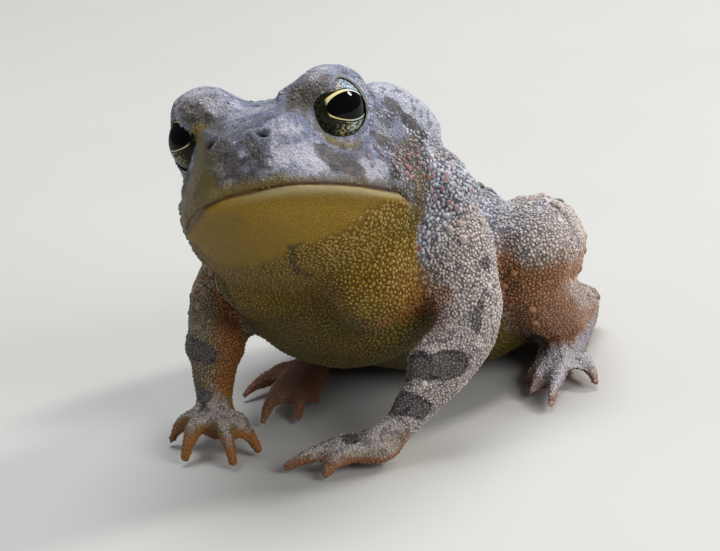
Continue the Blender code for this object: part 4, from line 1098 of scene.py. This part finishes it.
# %% [markdown]
# ## The skin's colours
# One recipe paints both the skin and the granules. It starts from lilac grey, breaks it up with
# soft brown and slate mottling, and lays the painted layers over it: tan limbs, painted shade and
# worn places, streaks, the yellow underside (partly painted warm reflected light), olive, warm and
# dark marks. The granules get paler tops, partly their own colour and partly a painted highlight,
# and darker feet as painted shade, and some get a rusty tip, as on the living animal.

# %% The colour that skin and granules share
LILAC, GREY_BROWN = paint(124, 131, 158), paint(104, 94, 80)
BONE, OCHRE, OLIVE_DEEP = paint(206, 207, 214), paint(131, 104, 17), paint(104, 92, 26)
CREAM, RUST, SMOKE = paint(146, 134, 96), paint(122, 60, 38), paint(80, 78, 94)
DARK_LINE, GOLD_SKIN, AMBER = paint(96, 56, 32), paint(110, 94, 38), paint(144, 88, 38)
OLIVE_MARK, SAND, TAN = paint(46, 42, 20), paint(178, 158, 112), paint(184, 170, 158)


def toad_colour(finish):
    """The colour that the skin and the granules share, and four of its layers."""
    mix, noise, layer = finish.mix, finish.noise, finish.attribute
    belly, throat = layer("belly"), layer("throat")
    broken = noise(0.9, 4.0, seed=1.0)
    ragged = noise(0.7, 3.0, seed=9.0) - 0.5
    mottled = (layer("brown") + (noise(2.4, 3.0) - 0.5) * 1.3).over(0.2, 0.9)
    colour = mix(mottled, LILAC, GREY_BROWN)
    colour = mix(noise(1.7, 4.0, seed=4.0).over(0.53, 0.61) * 0.50, colour, BONE)
    colour = mix(layer("pale") * 0.75, colour, BONE)
    colour = mix((layer("tan") + ragged * 0.5).over(0.0, 1.0) * 0.85, colour, TAN)
    colour = mix(noise(0.8, 4.0, seed=8.0).over(0.53, 0.58) * 0.62, colour, SMOKE)
    # Painted shade: where the shade layer is set the colour turns darker and browner, with dark brown specks.
    shade = layer("shade")
    colour = mix(shade * (0.6 + noise(1.1, 3.0, seed=14.0) * 0.7), colour, paint(166, 158, 148), "MULTIPLY")
    colour = mix(noise(0.5, 3.0, seed=15.0).over(0.55, 0.63) * shade * 0.6, colour, paint(78, 66, 52))
    worn = (layer("worn") + (broken - 0.5) * 1.0 + ragged * 0.5).over(0.34, 0.60)
    chalk = 0.40 + noise(0.6, 3.0, seed=16.0).over(0.3, 0.6) * 0.22
    colour = mix(worn * chalk, colour, paint(180, 177, 188))
    colour = mix(noise(0.42, 2.0).over(0.58, 0.66) * 0.42, colour, paint(66, 58, 58))
    colour = mix(noise(0.28, 2.0, seed=3.0).over(0.58, 0.68) * 0.14, colour, BONE)
    soft_streak = (layer("streak") * 1.2 + (broken - 0.5) * 1.1 + ragged * 0.6).over(0.34, 0.58)
    soot = mix(broken.over(0.42, 0.62), paint(50, 47, 50), paint(88, 80, 76))
    colour = mix(soft_streak * 0.82, colour, soot)
    # The underside: ochre throat over a darker olive belly. The yellow is partly painted warm reflected
    # light, and the darker belly partly painted shade.
    under = mix(throat, OLIVE_DEEP, OCHRE)
    under = mix(noise(4.0, 3.0, seed=2.0).over(0.40, 0.75) * 0.22, under, AMBER)
    drawn_out = noise(0.5, 3.0, stretch=(1, 1, 0.10), seed=6.0)
    under = mix(drawn_out.over(0.42, 0.72) * 0.25, under, GOLD_SKIN)
    under = mix(noise(0.35, 2.0, seed=7.0).over(0.55, 0.75) * 0.22, under, OLIVE_MARK)
    colour = mix(belly, colour, under)
    olive = (layer("olive") + ragged * 0.6).over(0.05, 0.75)
    colour = mix(olive * 0.88, colour, GOLD_SKIN)
    warm = (layer("warm") + ragged * 0.5).over(0.1, 1.0)
    colour = mix(warm * 0.82, colour, AMBER)
    slate_layer = layer("slate")
    slate = (slate_layer + (broken - 0.5) * 0.9 + ragged * 0.4).over(0.40, 0.47)
    inked = mix((slate_layer + ragged * 0.9).over(0.70, 0.90), paint(94, 88, 88), paint(34, 33, 34))
    colour = mix(slate * 0.92, colour, inked)
    colour = mix((layer("mark") + ragged * 0.8).over(0.25, 0.95) * 0.62, colour, OLIVE_MARK)
    return colour, {"belly": belly, "slate": slate, "warm": warm, "olive": olive}


# %% The skin's finish
hide = Finish("skin", 0.46)
hide.shader.inputs["Specular IOR Level"].default_value = 0.42
colour, seen = toad_colour(hide)
net = hide.attribute("dense") * (1 - 0.4 * hide.attribute("tan"))
gaps = hide.cells(0.34, "DISTANCE_TO_EDGE")
in_gap = 1 - gaps.over(0.02, 0.14)
# Where granules stand thick the skin between them is darkened: painted shade between the granules.
colour = hide.mix(net * (1 - 0.35 * seen["belly"]) * 0.45, colour, paint(176, 164, 156), "MULTIPLY")
gap_colour = hide.mix(hide.attribute("tan"), paint(116, 102, 94), paint(150, 112, 84))
gap_colour = hide.mix(seen["belly"], gap_colour, paint(176, 118, 70))
colour = hide.mix(in_gap * (0.14 + 0.46 * net), colour, gap_colour, "MULTIPLY")
lip_colour = hide.mix(hide.attribute("lip_left"), OCHRE, CREAM)
colour = hide.mix(hide.attribute("lip") * 0.9, colour, lip_colour)
colour = hide.mix(hide.attribute("mouth_line") * 0.75, colour, DARK_LINE)
# Pale rims at the back of the lids: partly their own colour and partly painted light over the shadow between
# lid and eyeball.
colour = hide.mix(hide.attribute("rim") * 0.75, colour, paint(140, 142, 104))
# The nostrils are painted near black: painted shade in their pits.
colour = hide.mix(hide.attribute("nostril"), colour, paint(14, 12, 12))
hide.plug(hide.shader.inputs["Base Color"], colour)
rough = 0.30 + hide.noise(0.5, 3.0, seed=12.0) * 0.32 + 0.22 * seen["belly"]
hide.plug(hide.shader.inputs["Roughness"], rough)
soft = 1 - hide.attribute("lip") * 0.9
fine_relief = (
    hide.noise(0.5, 4.0) * 0.9 + (1 - hide.cells(0.26)) * 0.35
    + gaps.over(0.0, 0.16) * (0.2 + 0.5 * net)
)
hide.bump(fine_relief * soft, 0.26, 0.95)
skin_mesh.materials.clear()
skin_mesh.materials.append(hide.material)
print("skin material:", len(hide.material.node_tree.nodes), "nodes")

# %% [markdown]
# ## Granules and warts
# On the animal each granule is a small round swelling of the skin. Modelling them one by one is
# hopeless, so one low dome is repeated by Geometry Nodes: points are scattered so that none stand
# closer than a set spacing, each gets a dome that stands along the skin's own direction, and the
# dome takes the colours of its root with it.

# %% One dome to repeat
DOME_HEIGHT = 0.62
PATCH_SIZE = 0.0015


def dome(sides, rings):
    """A low dome of radius 1, sunk a little below its foot."""
    rows = [(math.cos(a), DOME_HEIGHT * math.sin(a)) for a in (math.radians(t) for t in rings)]
    turns = [math.tau * k / sides for k in range(sides)]
    corners = [(r * math.cos(t), r * math.sin(t), h) for r, h in rows for t in turns]
    corners.append((0, 0, DOME_HEIGHT))
    faces = []
    for row in range(len(rows) - 1):
        for k in range(sides):
            a, b = row * sides + k, row * sides + (k + 1) % sides
            faces.append((a, b, b + sides, a + sides))
    last = (len(rows) - 1) * sides
    faces += [(last + k, last + (k + 1) % sides, len(corners) - 1) for k in range(sides)]
    mesh = bpy.data.meshes.new("dome")
    mesh.from_pydata(corners, [], faces)
    mesh.shade_smooth()
    local = mesh.attributes.new("local", "FLOAT_VECTOR", "POINT")
    local.data.foreach_set("vector", np.array(corners, np.float32).ravel())
    rise = mesh.attributes.new("rise", "FLOAT", "POINT")
    rise.data.foreach_set("value", np.array([c[2] / DOME_HEIGHT for c in corners], np.float32))
    made = bpy.data.objects.new("dome", mesh)
    bpy.context.scene.collection.objects.link(made)
    return made


small_dome = dome(7, (-22, 38))
large_dome = dome(12, (-25, 8, 34, 60))
print("dome faces:", len(small_dome.data.polygons), "and", len(large_dome.data.polygons))

# %% The node tree that scatters them


def granule_tree():
    tree = bpy.data.node_groups.new("granules", "GeometryNodeTree")
    sockets = (
        ("Skin", "Geometry"), ("Granule", "Object"), ("Spacing", "Float"), ("Smallest", "Float"),
        ("Largest", "Float"), ("Where", "String"), ("Seed", "Int"), ("Finish", "Material"),
    )
    for name, kind in sockets:
        tree.interface.new_socket(name, in_out="INPUT", socket_type="NodeSocket" + kind)
    tree.interface.new_socket("Granules", in_out="OUTPUT", socket_type="NodeSocketGeometry")

    def add(kind, settings=(), **inputs):
        node = tree.nodes.new(kind)
        for name, value in dict(settings).items():
            setattr(node, name, value)
        for name, value in inputs.items():
            key = int(name[1:]) if name[0] == "_" else name.replace("_", " ")
            socket = node.inputs[key]
            if isinstance(value, bpy.types.NodeSocket):
                tree.links.new(value, socket)
            else:
                socket.default_value = value
        return node

    def layer(kind, name):
        return add("GeometryNodeInputNamedAttribute", {"data_type": kind}, Name=name).outputs[0]

    def store(kind, domain, geometry, name, value):
        settings = {"data_type": kind, "domain": domain}
        inputs = {"Geometry": geometry, "Name": name, "Value": value}
        return add("GeometryNodeStoreNamedAttribute", settings, **inputs).outputs[0]

    def maths(operation, first, second, kind="ShaderNodeMath"):
        return add(kind, {"operation": operation}, _0=first, _1=second).outputs[0]

    def scaled(vector, by):
        return add("ShaderNodeVectorMath", {"operation": "SCALE"}, _0=vector, Scale=by).outputs[0]

    def chance_of(low, high, seed):
        return add("FunctionNodeRandomValue", {"data_type": "FLOAT"}, _2=low, _3=high, Seed=seed).outputs[1]

    given = tree.nodes.new("NodeGroupInput").outputs
    where, size = layer("FLOAT", given["Where"]), layer("FLOAT", "size")
    unwrap = layer("FLOAT_VECTOR", "unwrap")
    most = maths("DIVIDE", 1.9, maths("MULTIPLY", given["Spacing"], given["Spacing"]))
    spread = add(
        "GeometryNodeDistributePointsOnFaces", {"distribute_method": "POISSON"}, Mesh=given["Skin"],
        Distance_Min=given["Spacing"], Density_Max=most, Density_Factor=where, Seed=given["Seed"],
    )
    chance = add("FunctionNodeRandomValue", {"data_type": "FLOAT"}, Seed=given["Seed"]).outputs[1]
    kept = store("FLOAT", "POINT", spread.outputs["Points"], "chance", chance)
    kept = store("FLOAT_VECTOR", "POINT", kept, "root", unwrap)
    width = maths("MULTIPLY", chance_of(given["Smallest"], given["Largest"], 5), size)
    low, high = Vector((0.8, 0.8, 0.75)), Vector((1.2, 1.2, 1.25))
    shape = add("FunctionNodeRandomValue", {"data_type": "FLOAT_VECTOR"}, _0=low, _1=high, Seed=9).outputs[0]
    angle = chance_of(0.0, math.tau, 3)
    spin = add("FunctionNodeAxisAngleToRotation", {}, Axis=Vector((0, 0, 1)), Angle=angle).outputs[0]
    upright, local_space = spread.outputs["Rotation"], {"rotation_space": "LOCAL"}
    turn = add("FunctionNodeRotateRotation", local_space, Rotation=upright, Rotate_By=spin).outputs[0]
    pattern = add("GeometryNodeObjectInfo", {}, Object=given["Granule"]).outputs["Geometry"]
    stood = {"Points": kept, "Instance": pattern, "Rotation": turn, "Scale": scaled(shape, width)}
    stood = add("GeometryNodeInstanceOnPoints", {}, **stood).outputs[0]
    real = add("GeometryNodeRealizeInstances", {}, Geometry=stood).outputs[0]
    patch = scaled(layer("FLOAT_VECTOR", "local"), PATCH_SIZE)
    patch = maths("ADD", layer("FLOAT_VECTOR", "root"), patch, "ShaderNodeVectorMath")
    mapped = store("FLOAT2", "CORNER", real, "OFBake", patch)
    for spare in ("root", "local", "unwrap"):
        mapped = add("GeometryNodeRemoveAttribute", {}, Geometry=mapped, Name=spare).outputs[0]
    done = add("GeometryNodeSetMaterial", {}, Geometry=mapped, Material=given["Finish"]).outputs[0]
    tree.links.new(done, tree.nodes.new("NodeGroupOutput").inputs[0])
    return tree


GRANULES = granule_tree()
print("scatter tree:", len(GRANULES.nodes), "nodes")

# %% The granules' own finish
grit = Finish("granule", 0.34)
grit.shader.inputs["Specular IOR Level"].default_value = 0.5
colour, seen = toad_colour(grit)
rise, chance = grit.attribute("rise"), grit.attribute("chance")
# Paler towards the top of each granule: partly the granules' own paler tips and partly a painted highlight,
# warm in warm places.
crest = rise.over(0.0, 1.0)
lighter = grit.mix(grit.attribute("tan"), BONE, paint(216, 198, 178))
lighter = grit.mix(seen["belly"], lighter, SAND)
lighter = grit.mix(seen["olive"], lighter, paint(150, 138, 92))
lighter = grit.mix(seen["warm"] * (1 - 0.7 * seen["belly"]), lighter, paint(180, 134, 84))
keep_dark = 1 - seen["slate"] * 0.8
strength = (0.10 + 0.42 * chance) * (1 - 0.55 * grit.attribute("brown").over(0.45, 0.9))
strength = strength * (1 - seen["belly"] * (0.75 - 0.45 * grit.attribute("throat")))
strength = strength * (1 - seen["olive"] * 0.35) * (1 - seen["warm"] * 0.4)
colour = grit.mix(crest * strength * keep_dark, colour, lighter)
rusty = (
    (grit.noise(2.2, 2.0, seed=5.0) * 0.6 + chance * 0.5).over(0.74, 0.80) * rise.over(0.5, 1.0)
    * grit.attribute("rusts")
)
rusty = rusty + grit.attribute("rust") * rise.over(0.45, 0.9)
# Darker towards the foot of each granule: painted shade where it meets the skin.
colour = grit.mix((1 - rise).over(0.35, 1.2) * 0.65, colour, paint(130, 112, 104), "MULTIPLY")
colour = grit.mix(grit.attribute("rust") * (1 - rise).over(0.1, 0.9) * 0.8, colour, paint(70, 54, 48))
colour = grit.mix(rusty * 0.88, colour, RUST)
grit.plug(grit.shader.inputs["Base Color"], colour)
grit.bump(grit.noise(0.22, 2.0), 0.05, 0.6)
print("granule material:", len(grit.material.node_tree.nodes), "nodes")

# %% Scatter the granules
regions = {
    "where_back": dense * back * (1 - face),
    "where_belly": dense * belly * core,
    "where_head": dense * crown,
    "where_arms": dense * arm,
    "where_legs": dense * leg,
    "where_digits": (hand + foot) * smooth(0.20, 0.48, points[:, 2]),
}
for name, values in regions.items():
    layer = skin_mesh.attributes.new(name, "FLOAT", "POINT")
    layer.data.foreach_set("value", np.clip(values, 0, 1).astype(np.float32))


def scatter(name, where, pattern, spacing_mm, smallest_mm, largest_mm, seed):
    """Granules on the skin where a layer is set, as one plain mesh."""
    carrier = bpy.data.objects.new(name, skin_mesh)
    bpy.context.scene.collection.objects.link(carrier)
    modifier = carrier.modifiers.new("granules", "NODES")
    modifier.node_group = GRANULES
    given = {item.name: item.identifier for item in GRANULES.interface.items_tree if item.in_out == "INPUT"}
    values = {
        "Granule": pattern, "Spacing": spacing_mm * 0.001, "Smallest": smallest_mm * 0.001,
        "Largest": largest_mm * 0.001, "Where": where, "Seed": seed, "Finish": grit.material,
    }
    for label, value in values.items():
        modifier[given[label]] = value
    graph = bpy.context.evaluated_depsgraph_get()
    mesh = bpy.data.meshes.new_from_object(
        carrier.evaluated_get(graph), preserve_all_data_layers=True, depsgraph=graph
    )
    carrier.modifiers.clear()
    carrier.data = mesh
    triangles = sum(len(face.vertices) - 2 for face in mesh.polygons)
    print(name, triangles, "triangles, maps:", [m.name for m in mesh.uv_layers])
    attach(carrier, "root")
    return carrier


coat = [
    scatter("granules_back", "where_back", small_dome, 0.36, 0.17, 0.27, 1),
    scatter("granules_belly", "where_belly", small_dome, 0.35, 0.15, 0.22, 2),
    scatter("granules_head", "where_head", small_dome, 0.38, 0.15, 0.27, 3),
    scatter("granules_arms", "where_arms", small_dome, 0.28, 0.15, 0.21, 4),
    scatter("granules_legs", "where_legs", small_dome, 0.34, 0.16, 0.25, 5),
    scatter("granules_digits", "where_digits", small_dome, 0.34, 0.14, 0.20, 6),
]


# %% [markdown]
# ## Warts with places of their own
# Some warts can be named on the animal: the rows of rust-tipped ones on the cheek, the beads on
# the rim of the lower lid, and the three or more warts that stand in each dark spot of the back,
# by which this species is told from its cousins. They are copies of a dome with more faces, set
# where the names say and joined into one mesh by a loop.

# %% Find the root of a wart
nearest = KDTree(len(points))
for index, point in enumerate(points):
    nearest.insert(point, index)
nearest.balance()
normals = array_of(skin_mesh, "normal")
root_map = np.zeros((len(points), 2))
loop_points = np.empty(len(skin_mesh.loops), np.int32)
skin_mesh.loops.foreach_get("vertex_index", loop_points)
loop_map = np.empty(len(skin_mesh.loops) * 2, np.float32)
skin_mesh.uv_layers["unwrap"].data.foreach_get("uv", loop_map)
root_map[loop_points] = loop_map.reshape(-1, 2)
print("points to root a wart on:", len(points))


def root_of(place):
    return nearest.find(Vector(place))[1]


def set_warts(name, places):
    """places holds (place, radius, height, rust) rows; every wart takes the layers of its root."""
    local = array_of(large_dome.data)
    faces = [list(f.vertices) for f in large_dome.data.polygons]
    corners, polygons, roots = [], [], []
    rng = np.random.default_rng(11)
    for place, radius, tall, rust in places:
        root = root_of(place)
        turn = np.array(Vector(normals[root]).to_track_quat("Z", "Y").to_matrix())
        stretch = np.array((rng.uniform(0.88, 1.15), rng.uniform(0.88, 1.15), tall)) * radius
        start = sum(len(c) for c in corners)
        corners.append((local * stretch) @ turn.T + points[root])
        polygons += [[start + i for i in f] for f in faces]
        roots.append((root, rng.uniform(0, 1), rust))
    mesh = bpy.data.meshes.new(name)
    mesh.from_pydata(((np.concatenate(corners) - shift) * 0.001).tolist(), [], polygons)
    mesh.shade_smooth()
    count = len(local)
    own = {key: np.repeat([values[r] for r, _, _ in roots], count) for key, values in layers.items()}
    own["rise"] = np.tile(local[:, 2] / DOME_HEIGHT, len(roots))
    own["chance"] = np.repeat([c for _, c, _ in roots], count)
    own["rust"] = np.repeat([r for _, _, r in roots], count)
    for key, values in own.items():
        layer = mesh.attributes.new(key, "FLOAT", "POINT")
        layer.data.foreach_set("value", values.astype(np.float32))
    patch = np.concatenate([root_map[r] + local[:, :2] * PATCH_SIZE for r, _, _ in roots])
    corner_of = np.empty(len(mesh.loops), np.int32)
    mesh.loops.foreach_get("vertex_index", corner_of)
    mesh.uv_layers.new(name="OFBake").data.foreach_set("uv", patch[corner_of].astype(np.float32).ravel())
    mesh.materials.append(grit.material)
    made = bpy.data.objects.new(name, mesh)
    bpy.context.scene.collection.objects.link(made)
    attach(made, "root")
    print(name, len(places), "warts")


# %% Warts of cheek, neck, lids and crown
random = np.random.default_rng(23)
CHEEK_WARTS = [
    (9.5, -1.3, -5.3), (10.1, 1.2, -5.3), (10.6, 2.7, -5.4), (11.0, 3.8, -5.6), (11.7, 5.5, -5.6),
    (12.0, 6.2, -5.1), (10.7, 2.1, -6.1), (11.0, 3.0, -6.3), (11.5, 4.1, -6.7), (11.7, 4.7, -6.9),
    (12.1, 5.7, -6.7), (12.7, 6.7, -7.3), (12.3, 6.0, -7.8), (11.4, 3.2, -7.4), (12.8, 7.6, -6.0),
    (9.7, -1.8, -6.2), (13.8, 9.2, -8.3), (13.6, 8.6, -10.8), (12.6, 7.3, -10.2), (13.4, 9.4, -6.0),
    (13.2, 8.2, -9.4), (9.3, 0.6, -4.3), (10.0, 4.6, -5.0), (11.2, 7.4, -5.0),
]
NECK_WARTS = [
    (12.7, 7.4, -10.2), (13.9, 9.1, -11.5), (14.2, 8.6, -12.9), (14.3, 7.9, -14.7), (13.6, 8.7, -8.7),
    (12.8, 7.6, -6.5), (13.8, 9.2, -8.3), (15.0, 12.0, -10.1), (15.8, 10.9, -13.4), (14.0, 10.8, -7.4),
    (14.6, 11.6, -12.2), (13.2, 8.4, -13.6),
]
for row in range(5):
    for step in range(5):
        spot = (12.0, 1.6 + 1.05 * step + 0.25 * row, -4.6 - 0.85 * row - 0.25 * step)
        CHEEK_WARTS.append(tuple(value + random.normal(0, 0.16) for value in spot))
LID_BEADS = 56
warts = []
for side in (1, -1):
    for a, b, c in CHEEK_WARTS:
        place = on_head(side * a, b + (0.3 if side < 0 else 0), c)
        radius = random.uniform(0.21, 0.31) + 0.06 * max(b - 6.5, 0)
        warts.append((place, radius, random.uniform(1.0, 1.35), random.uniform(0.6, 1.0)))
    for a, b, c in NECK_WARTS:
        radius = random.uniform(0.40, 0.56)
        warts.append((on_head(side * a, b, c), radius, random.uniform(0.9, 1.15), random.uniform(0.5, 0.9)))
    turn = gaze_frame(side)
    for step in range(LID_BEADS):
        around = math.tau * step / LID_BEADS + random.uniform(-0.03, 0.03)
        reach = 3.55 + random.uniform(-0.06, 0.06)
        ahead = 1.75 + 0.2 * math.sin(around)
        place = np.array(turn @ Vector((reach * math.cos(around), reach * math.sin(around), ahead)))
        bead = random.uniform(0.11, 0.17) + 0.05 * (math.cos(around) * side > 0.2)
        if math.cos(around) * side > -0.3 and math.sin(around) < 0.6:
            warts.append((place, bead, 0.9, 0.0))
    for _ in range(34):
        place = on_head(side * random.uniform(0.6, 7.5), random.uniform(-8, 9), 3.4)
        radius, tall = random.uniform(0.12, 0.26), random.uniform(0.7, 1.1)
        warts.append((place, radius, tall, random.choice((0.0, 0.0, 0.8))))
set_warts("warts_head", warts)

# %% Warts of the back, in the blots and between them
warts = []
for row in range(BLOT_ROWS):
    for side in (1, -1):
        across, rearward = blot_place(row, side)
        for _ in range(5):
            place = (across + random.normal(0, 0.9), rearward + random.normal(0, 0.9), 34 - 0.8 * rearward)
            radius, tall = random.uniform(0.42, 0.78), random.uniform(0.8, 1.1)
            warts.append((place, radius, tall, random.choice((0.0, 0.5))))
for _ in range(260):
    place = (random.uniform(-13, 13), random.uniform(-8, 30), random.uniform(8, 34))
    root = root_of(place)
    if torso[root] > 0.6 and belly[root] < 0.3:
        radius, tall = random.uniform(0.35, 0.6), random.uniform(0.8, 1.2)
        warts.append((points[root], radius, tall, random.choice((0.0, 0.0, 0.9))))
set_warts("warts_back", warts)

# %% Warts of the limbs
warts = []
for _ in range(420):
    place = (random.choice((-1, 1)) * random.uniform(7, 18), random.uniform(-12, 28), random.uniform(3, 24))
    root = root_of(place)
    on_leg = thigh[root] + shank[root] + 0.8 * upper_arm[root] + 0.6 * forearm[root]
    if on_leg > 0.5 and belly[root] < 0.3 and random.uniform() < on_leg:
        small = 0.75 if forearm[root] + upper_arm[root] > 0.5 else 1.0
        radius, tall = small * random.uniform(0.30, 0.52), random.uniform(0.8, 1.2)
        warts.append((points[root], radius, tall, random.choice((0.0, 0.0, 0.7))))
set_warts("warts_limbs", warts)
for pattern in (small_dome, large_dome):
    pattern.hide_render = True

# %% [markdown]
# ## Eyes
# A toad's eye is a glossy ball, nearly black at a first look. The pupil is a lying oval with a
# thin gold line above and below it, and gold dust lies above and below that. High in the iris and
# towards the back the pale dust turns bluish white, partly its own colour and partly a painted
# reflection of the light above. The pattern is painted on the ball in the eye's own frame. The
# photograph shows the right eye from well to its side, so its pattern is turned, lifted and rolled
# a little to match. A clear coat gives the wet shine.

# %% Eyeballs
BALL_RADIUS = 3.36
CORNEA = 0.16
PATTERN_ANGLES = {1: (0.0, 0.0, 0.0), -1: (9.5, 12.0, -14.0)}


def swung(first, second, degrees):
    """Two coordinates turned together by an angle."""
    c, s = math.cos(math.radians(degrees)), math.sin(math.radians(degrees))
    return first * c + second * s, second * c - first * s


def eyeball(side, label):
    """A ball with a slightly raised clear front, with its own frame kept as a layer."""
    rings, sides = 64, 96
    corners, faces = [(0, 0, 1)], []
    for row in range(1, rings):
        angle = math.pi * row / rings
        around = [math.tau * k / sides for k in range(sides)]
        corners += [
            (math.sin(angle) * math.cos(t), math.sin(angle) * math.sin(t), math.cos(angle)) for t in around
        ]
    corners.append((0, 0, -1))
    for k in range(sides):
        after = (k + 1) % sides
        faces.append((0, 1 + k, 1 + after))
        for row in range(rings - 2):
            a = 1 + row * sides
            faces.append((a + k, a + sides + k, a + sides + after, a + after))
        last = 1 + (rings - 2) * sides
        faces.append((last + k, len(corners) - 1, last + after))
    local = np.array(corners) * BALL_RADIUS
    local[:, 2] += CORNEA * smooth(0.45, 1.0, local[:, 2] / BALL_RADIUS)
    turn = np.array(gaze_frame(side))
    place = (local @ turn[:3, :3].T + turn[:3, 3] - shift) * 0.001
    mesh = bpy.data.meshes.new("eyeball_" + label)
    mesh.from_pydata(place.tolist(), [], faces)
    layer = mesh.attributes.new("gaze", "FLOAT_VECTOR", "POINT")
    back, rise, ahead = side * local[:, 0], local[:, 1], local[:, 2]
    turned, lifted, rolled = PATTERN_ANGLES[side]
    back, ahead = swung(back, ahead, turned)
    rise, ahead = swung(rise, ahead, -lifted)
    back, rise = swung(back, rise, -rolled)
    layer.data.foreach_set("vector", np.stack((back, rise, ahead), 1).astype(np.float32).ravel())
    mesh.shade_smooth()
    made = bpy.data.objects.new("eyeball_" + label, mesh)
    bpy.context.scene.collection.objects.link(made)
    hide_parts("eye_" + label)
    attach(made, "root")
    return made


eyes = [eyeball(1, "left"), eyeball(-1, "right")]

# %% The iris
iris = Finish("eye", 0.12)
iris.shader.inputs["Specular IOR Level"].default_value = 0.0
iris.shader.inputs["Coat Weight"].default_value = 0.32
iris.shader.inputs["Coat Roughness"].default_value = 0.02
gaze = iris.attribute("gaze", "Vector")
u = iris.node("ShaderNodeSeparateXYZ", {}, {"Vector": gaze})
v = Wire(iris, u.socket.node.outputs["Y"])
iris.place = iris.node("ShaderNodeVectorMath", {"operation": "SCALE"}, {0: gaze, "Scale": 0.001})
u_pupil = u - 0.55
rise_v = v + 0.10 + 0.03 * u
upper = rise_v.over(-0.12, 0.12)
tall = 1.40 * upper + 1.32 * (1 - upper)
oval = (u_pupil / 2.42).math("ABSOLUTE").math("POWER", 1.7) + rise_v * rise_v / (tall * tall)
reach = (u * u + v * v) / (3.0 * 3.0)
to_front = 1 - u_pupil.over(-1.3, 1.3)
outer = 1.12 + upper * (0.06 + 0.17 * to_front)
gold = oval.over(1.00, 1.04) * (1 - oval.math("SUBTRACT", outer).over(0.0, 0.07))
gold = gold * (1 - (0 - u_pupil).over(2.15, 2.45)) * (1 - u_pupil.over(1.6, 2.1))
side_band = (1 - (0 - u_pupil).over(1.0, 1.9)) * (1 - u_pupil.over(1.6, 2.3))
low_dust = (
    iris.noise(0.24, 3.0).over(0.47, 0.57) * side_band * (1 - reach.over(0.70, 0.92))
    * (0 - v).over(1.0, 1.35)
)
# High in the iris the pale dust bends down towards the back and turns bluish white: partly the iris's own
# flecks and partly a painted reflection of the light above.
bent = v + u_pupil.math("MAXIMUM", 0.0) * 0.45
high_dust_and_reflection = (
    iris.noise(0.20, 3.0, seed=5.0).over(0.40, 0.58) * bent.over(1.4, 1.75)
    * (1 - reach.over(0.84, 1.04))
)
dust = (low_dust + high_dust_and_reflection) * oval.over(1.30, 1.45)
dust_colour = iris.mix(u.over(-0.4, 1.0), paint(176, 158, 120), paint(176, 192, 182))
high_colour = iris.mix(u.over(-0.8, 1.0), paint(172, 158, 134), paint(176, 192, 206))
dust_colour = iris.mix(v.over(0.8, 1.4), dust_colour, high_colour)
brighter = iris.mix(reach.over(0.4, 1.0), paint(30, 32, 18), paint(62, 62, 34))
dark_iris = iris.mix(iris.noise(0.4, 3.0, seed=2.0).over(0.35, 0.65), paint(10, 11, 7), brighter)
colour = iris.mix(dust * 0.9, dark_iris, dust_colour)
colour = iris.mix(oval.over(1.03, 0.99), colour, paint(3, 3, 4))
ring_colour = iris.mix(u.over(-0.2, 0.9), paint(214, 200, 142), paint(190, 206, 186))
colour = iris.mix(gold, colour, ring_colour)
iris.plug(iris.shader.inputs["Base Color"], colour)
for obj in eyes:
    obj.data.materials.append(iris.material)

# %% [markdown]
# ## Hand over to the frame
# The skin stands for every solid of flesh, and all the pieces belong to the one still body.

# %% Tie the skin to the solids and finish
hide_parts(*flesh)
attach(skin, "root")
